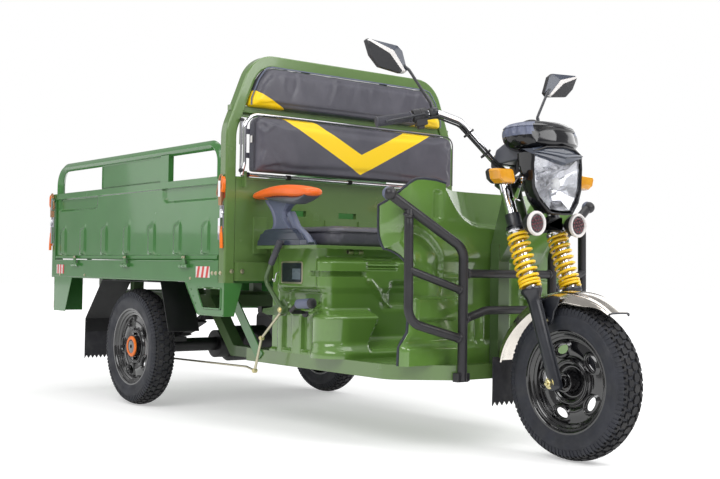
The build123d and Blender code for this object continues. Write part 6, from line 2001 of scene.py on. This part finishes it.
def levers():
    """Parking brake lever with its quadrant, rods and fittings, and the drive selector with its knob."""
    y = -470
    lever = Shape()
    lever.tube([(1026, y, 694), (927, y, 552), (1048, y, 446)], 8.5, [34], sides=16)
    lever.lathe([(-12, 10), (-10, 14), (10, 14), (12, 10)], (1048, y, 446), (0, 1, 0), sides=28)
    lever.piece("brake_lever_bar", "chassis", FRAME_GREEN, "frame_paint", "parking_brake")
    grip = Shape()
    way = Vector((1024 - 968, 0, 692 - 612)).normalized()
    profile = [(0, 8.6), (0, 11.5), (3, 12.5)]
    for k in range(9):
        profile += [(6 + k * 10, 11.2), (8 + k * 10, 12.3), (13 + k * 10, 12.3), (15 + k * 10, 11.2)]
    profile += [(98, 12.3), (102, 10), (104, 4)]
    grip.lathe(profile, (968, y, 612), tuple(way), sides=24)
    grip.piece("brake_lever_grip", "chassis", GRIP, "grip_rubber")
    plate = Shape()
    outline = [(900, 432), (930, 424), (1052, 424), (1070, 440), (1066, 470), (1040, 486), (1010, 470),
               (960, 452), (906, 446)]
    plate.prism(outline, "xz", -462, -458)
    for k in range(6):
        plate.lathe([(-1, 5), (0.6, 5)], (930 + 18 * k, -462, 438 + 1.5 * k), (0, 1, 0), sides=12)
    plate.prism([(1020, 452), (1060, 452), (1060, 440), (1020, 440)], "xz", -458, -400)
    plate.piece("brake_quadrant", "chassis", FRAME_GREEN, "frame_paint", bevel=0.8, segments=1)
    rods = Shape()
    rods.tube([(1048, y, 446), (913, y, 337), (870, y, 213)], 5, [26], sides=12)
    rods.tube([(870, y, 213), (800, -462, 222), (108, -405, 202)], 4, [30], sides=10)
    rods.tube([(108, -405, 202), (70, -405, 262)], 4, sides=10)
    rods.piece("brake_rods", "chassis", ZINC, "zinc_steel")
    ends = Shape()
    for x, at_y, z in ((870, y, 213), (913, y, 337), (1048, y, 446), (108, -405, 202)):
        ends.lathe([(-9, 6), (-7, 8.5), (7, 8.5), (9, 6)], (x, at_y, z), (0, 1, 0), sides=16)
    ends.bolt((1048, y - 12, 446), (0, -1, 0), 8, 6)
    ends.piece("brake_joints", "chassis", BRASS, "zinc_steel")
    shift = Shape()
    shift.tube([(1090, -396, 440), (1090, -470, 440), (1150, -470, 473)], 8, [22], sides=16)
    shift.lathe([(0, 16), (4, 20), (10, 20), (12, 12)], (1090, -392, 440), (0, -1, 0), sides=26)
    shift.piece("shift_lever_arm", "chassis", TUBE_BLACK, "black_paint", "shift_lever")
    knob = Shape()
    knob.lathe([(0, 9), (1, 13), (6, 16.5), (20, 17), (78, 17.5), (82, 17.5)], (1140, -470, 470),
               (0.98, 0, 0.06), sides=30)
    knob.paint = 1
    knob.lathe([(82, 17.5), (84, 18.5), (92, 18.5), (96, 15), (98, 8)], (1140, -470, 470), (0.98, 0, 0.06),
               sides=30)
    knob.piece("shift_knob", "chassis", [STALK, BLACK_PLASTIC], "grip_rubber")


cushions()
for side_hand in (RIGHT, LEFT):
    armrest(side_hand)
bench_fittings()
levers()


# ---------------------------------------------------------------- metal pieces kept from the frame
def coat(node, paint):
    """Give a frame piece its material."""
    mesh = frame["nodes"][node].data
    mesh.materials.clear()
    mesh.materials.append(paint)


for node, paint in {
    "main_frame": FRAME_GREEN, "footboard": OLIVE_FOLDED, "load_bed": GREEN_FOLDED,
    "bed_front_wall": OLIVE_FOLDED, "hoop": OLIVE_FOLDED, "rear_axle": FRAME_BLACK,
    "leaf_springs": LEAF_STEEL, "rear_mudguards": FRAME_BLACK, "crash_guard": TUBE_BLACK,
    "bench_frame": CHROME, "battery_block": BLACK_PLASTIC, "seat_board": OLIVE_FOLDED, "handlebar": CHROME,
    "shift_lever": TUBE_BLACK, "parking_brake": TUBE_BLACK, "leg_shield": OLIVE, "seat_base": OLIVE_FOLDED,
    "upper_backrest": VINYL_CORNERS, "tail_lamps": RED_LENS, "panel_latches": CHROME, "rear_mudflaps": FLAP,
    "fork": LEG_BLACK, "fork_springs": SPRING, "front_fender": STEEL, "front_mudflap": FLAP,
    "headlight": POD_PLASTIC, "headlight_lens": CLEAR, "instrument_pod": POD_PLASTIC, "turn_signals": AMBER,
    "aux_lamps": LAMP_DARK, "grips": GRIP, "hand_controls": BLACK_PLASTIC, "mirrors": MIRROR_SHELL,
    "side_panel_left": GREEN_FOLDED, "side_panel_right": GREEN_FOLDED, "tailgate": GREEN_FOLDED,
    "bench_cushion": VINYL_CHEVRON, "seat_cushion": VINYL, "armrests": STALK, "arm_pads": ORANGE_PAD,
}.items():
    coat(node, paint)


# ---------------------------------------------------------------- floor, light and camera
def floor():
    """Pale floor that shows as white and still takes the object's shadow."""
    mesh = bpy.data.meshes.new("floor")
    size = 30
    mesh.from_pydata([(-size, -size, 0), (size, -size, 0), (size, size, 0), (-size, size, 0)], [],
                     [(0, 1, 2, 3)])
    plane = bpy.data.objects.new("floor", mesh)
    bpy.context.scene.collection.objects.link(plane)
    material = bpy.data.materials.new("floor_white")
    material.use_nodes = True
    nodes, links = material.node_tree.nodes, material.node_tree.links
    shader = nodes["Principled BSDF"]
    shader.inputs["Base Color"].default_value = (0.8, 0.8, 0.8, 1)
    shader.inputs["Roughness"].default_value = 0.9
    shader.inputs["Specular IOR Level"].default_value = 0.0
    glow = nodes.new("ShaderNodeEmission")
    ray = nodes.new("ShaderNodeLightPath")
    seen = nodes.new("ShaderNodeMath")
    seen.operation = "MAXIMUM"
    links.new(ray.outputs["Is Camera Ray"], seen.inputs[0])
    links.new(ray.outputs["Is Glossy Ray"], seen.inputs[1])
    place = nodes.new("ShaderNodeNewGeometry")
    reach = nodes.new("ShaderNodeVectorMath")
    reach.operation = "LENGTH"
    links.new(place.outputs["Position"], reach.inputs[0])
    lift = nodes.new("ShaderNodeMapRange")
    lift.inputs["From Min"].default_value = 2.2
    lift.inputs["From Max"].default_value = 7.0
    lift.inputs["To Min"].default_value = FLOOR_LIFT
    lift.inputs["To Max"].default_value = 1.0
    links.new(reach.outputs["Value"], lift.inputs["Value"])
    level = nodes.new("ShaderNodeMath")
    level.operation = "MULTIPLY"
    links.new(lift.outputs[0], level.inputs[1])
    links.new(seen.outputs[0], level.inputs[0])
    links.new(level.outputs[0], glow.inputs["Strength"])
    both = nodes.new("ShaderNodeAddShader")
    links.new(shader.outputs[0], both.inputs[0])
    links.new(glow.outputs[0], both.inputs[1])
    links.new(both.outputs[0], nodes["Material Output"].inputs["Surface"])
    mesh.materials.append(material)


FLOOR_LIFT = 0.40


def world(level):
    """Even pale surroundings, plain white where seen directly."""
    sky = bpy.data.worlds.new("studio")
    bpy.context.scene.world = sky
    sky.use_nodes = True
    nodes, links = sky.node_tree.nodes, sky.node_tree.links
    backdrop = nodes["Background"]
    ray = nodes.new("ShaderNodeLightPath")
    seen = nodes.new("ShaderNodeMath")
    seen.operation = "MAXIMUM"
    links.new(ray.outputs["Is Camera Ray"], seen.inputs[0])
    links.new(ray.outputs["Is Transmission Ray"], seen.inputs[1])
    strength = nodes.new("ShaderNodeMapRange")
    strength.inputs["To Min"].default_value = level
    strength.inputs["To Max"].default_value = 1.0
    links.new(seen.outputs[0], strength.inputs["Value"])
    links.new(strength.outputs[0], backdrop.inputs["Strength"])
    backdrop.inputs["Color"].default_value = (1, 1, 1, 1)


def lamp(name, place, target, size, power):
    """Soft rectangular lamp aimed at a point."""
    light = bpy.data.lights.new(name, "AREA")
    light.shape = "RECTANGLE"
    light.size, light.size_y = size
    light.energy = power
    holder = bpy.data.objects.new(name, light)
    bpy.context.scene.collection.objects.link(holder)
    holder.location = at(*place)
    way = at(*target) - at(*place)
    holder.rotation_euler = way.to_track_quat("-Z", "Y").to_euler()


def camera():
    """Camera at the front right of the vehicle, a little above the seat's height."""
    yaw, pitch, roll = -3.807, math.radians(1.604), math.radians(0.8835)
    forward = Vector((math.cos(yaw) * math.cos(pitch), math.sin(yaw) * math.cos(pitch), math.sin(pitch)))
    right = Vector((math.sin(yaw), -math.cos(yaw), 0))
    up = right.cross(forward)
    across = right * math.cos(roll) + up * math.sin(roll)
    above = up * math.cos(roll) - right * math.sin(roll)
    lens_data = bpy.data.cameras.new("camera")
    lens_data.sensor_width = 36
    lens_data.lens = 54.98
    holder = bpy.data.objects.new("camera", lens_data)
    bpy.context.scene.collection.objects.link(holder)
    turn = Matrix((across, above, -forward)).transposed()
    holder.matrix_world = Matrix.Translation(at(4347.05, -2708.70, 593.18)) @ turn.to_4x4()
    bpy.context.scene.camera = holder


floor()
world(0.40)
lamp("key", (2600, -3600, 3600), (900, 0, 500), (3.2, 2.2), 105)
lamp("top", (600, 300, 4200), (700, 0, 300), (5.0, 3.0), 95)
lamp("fill", (-2200, -2800, 1800), (300, 0, 500), (2.4, 2.0), 14)
lamp("front", (4400, 700, 2700), (1500, 0, 650), (2.6, 1.8), 70)
lamp("back", (900, 4200, 2600), (900, 0, 500), (4.0, 2.0), 45)
camera()
bpy.context.scene.view_settings.view_transform = "Standard"
bpy.context.view_layer.update()
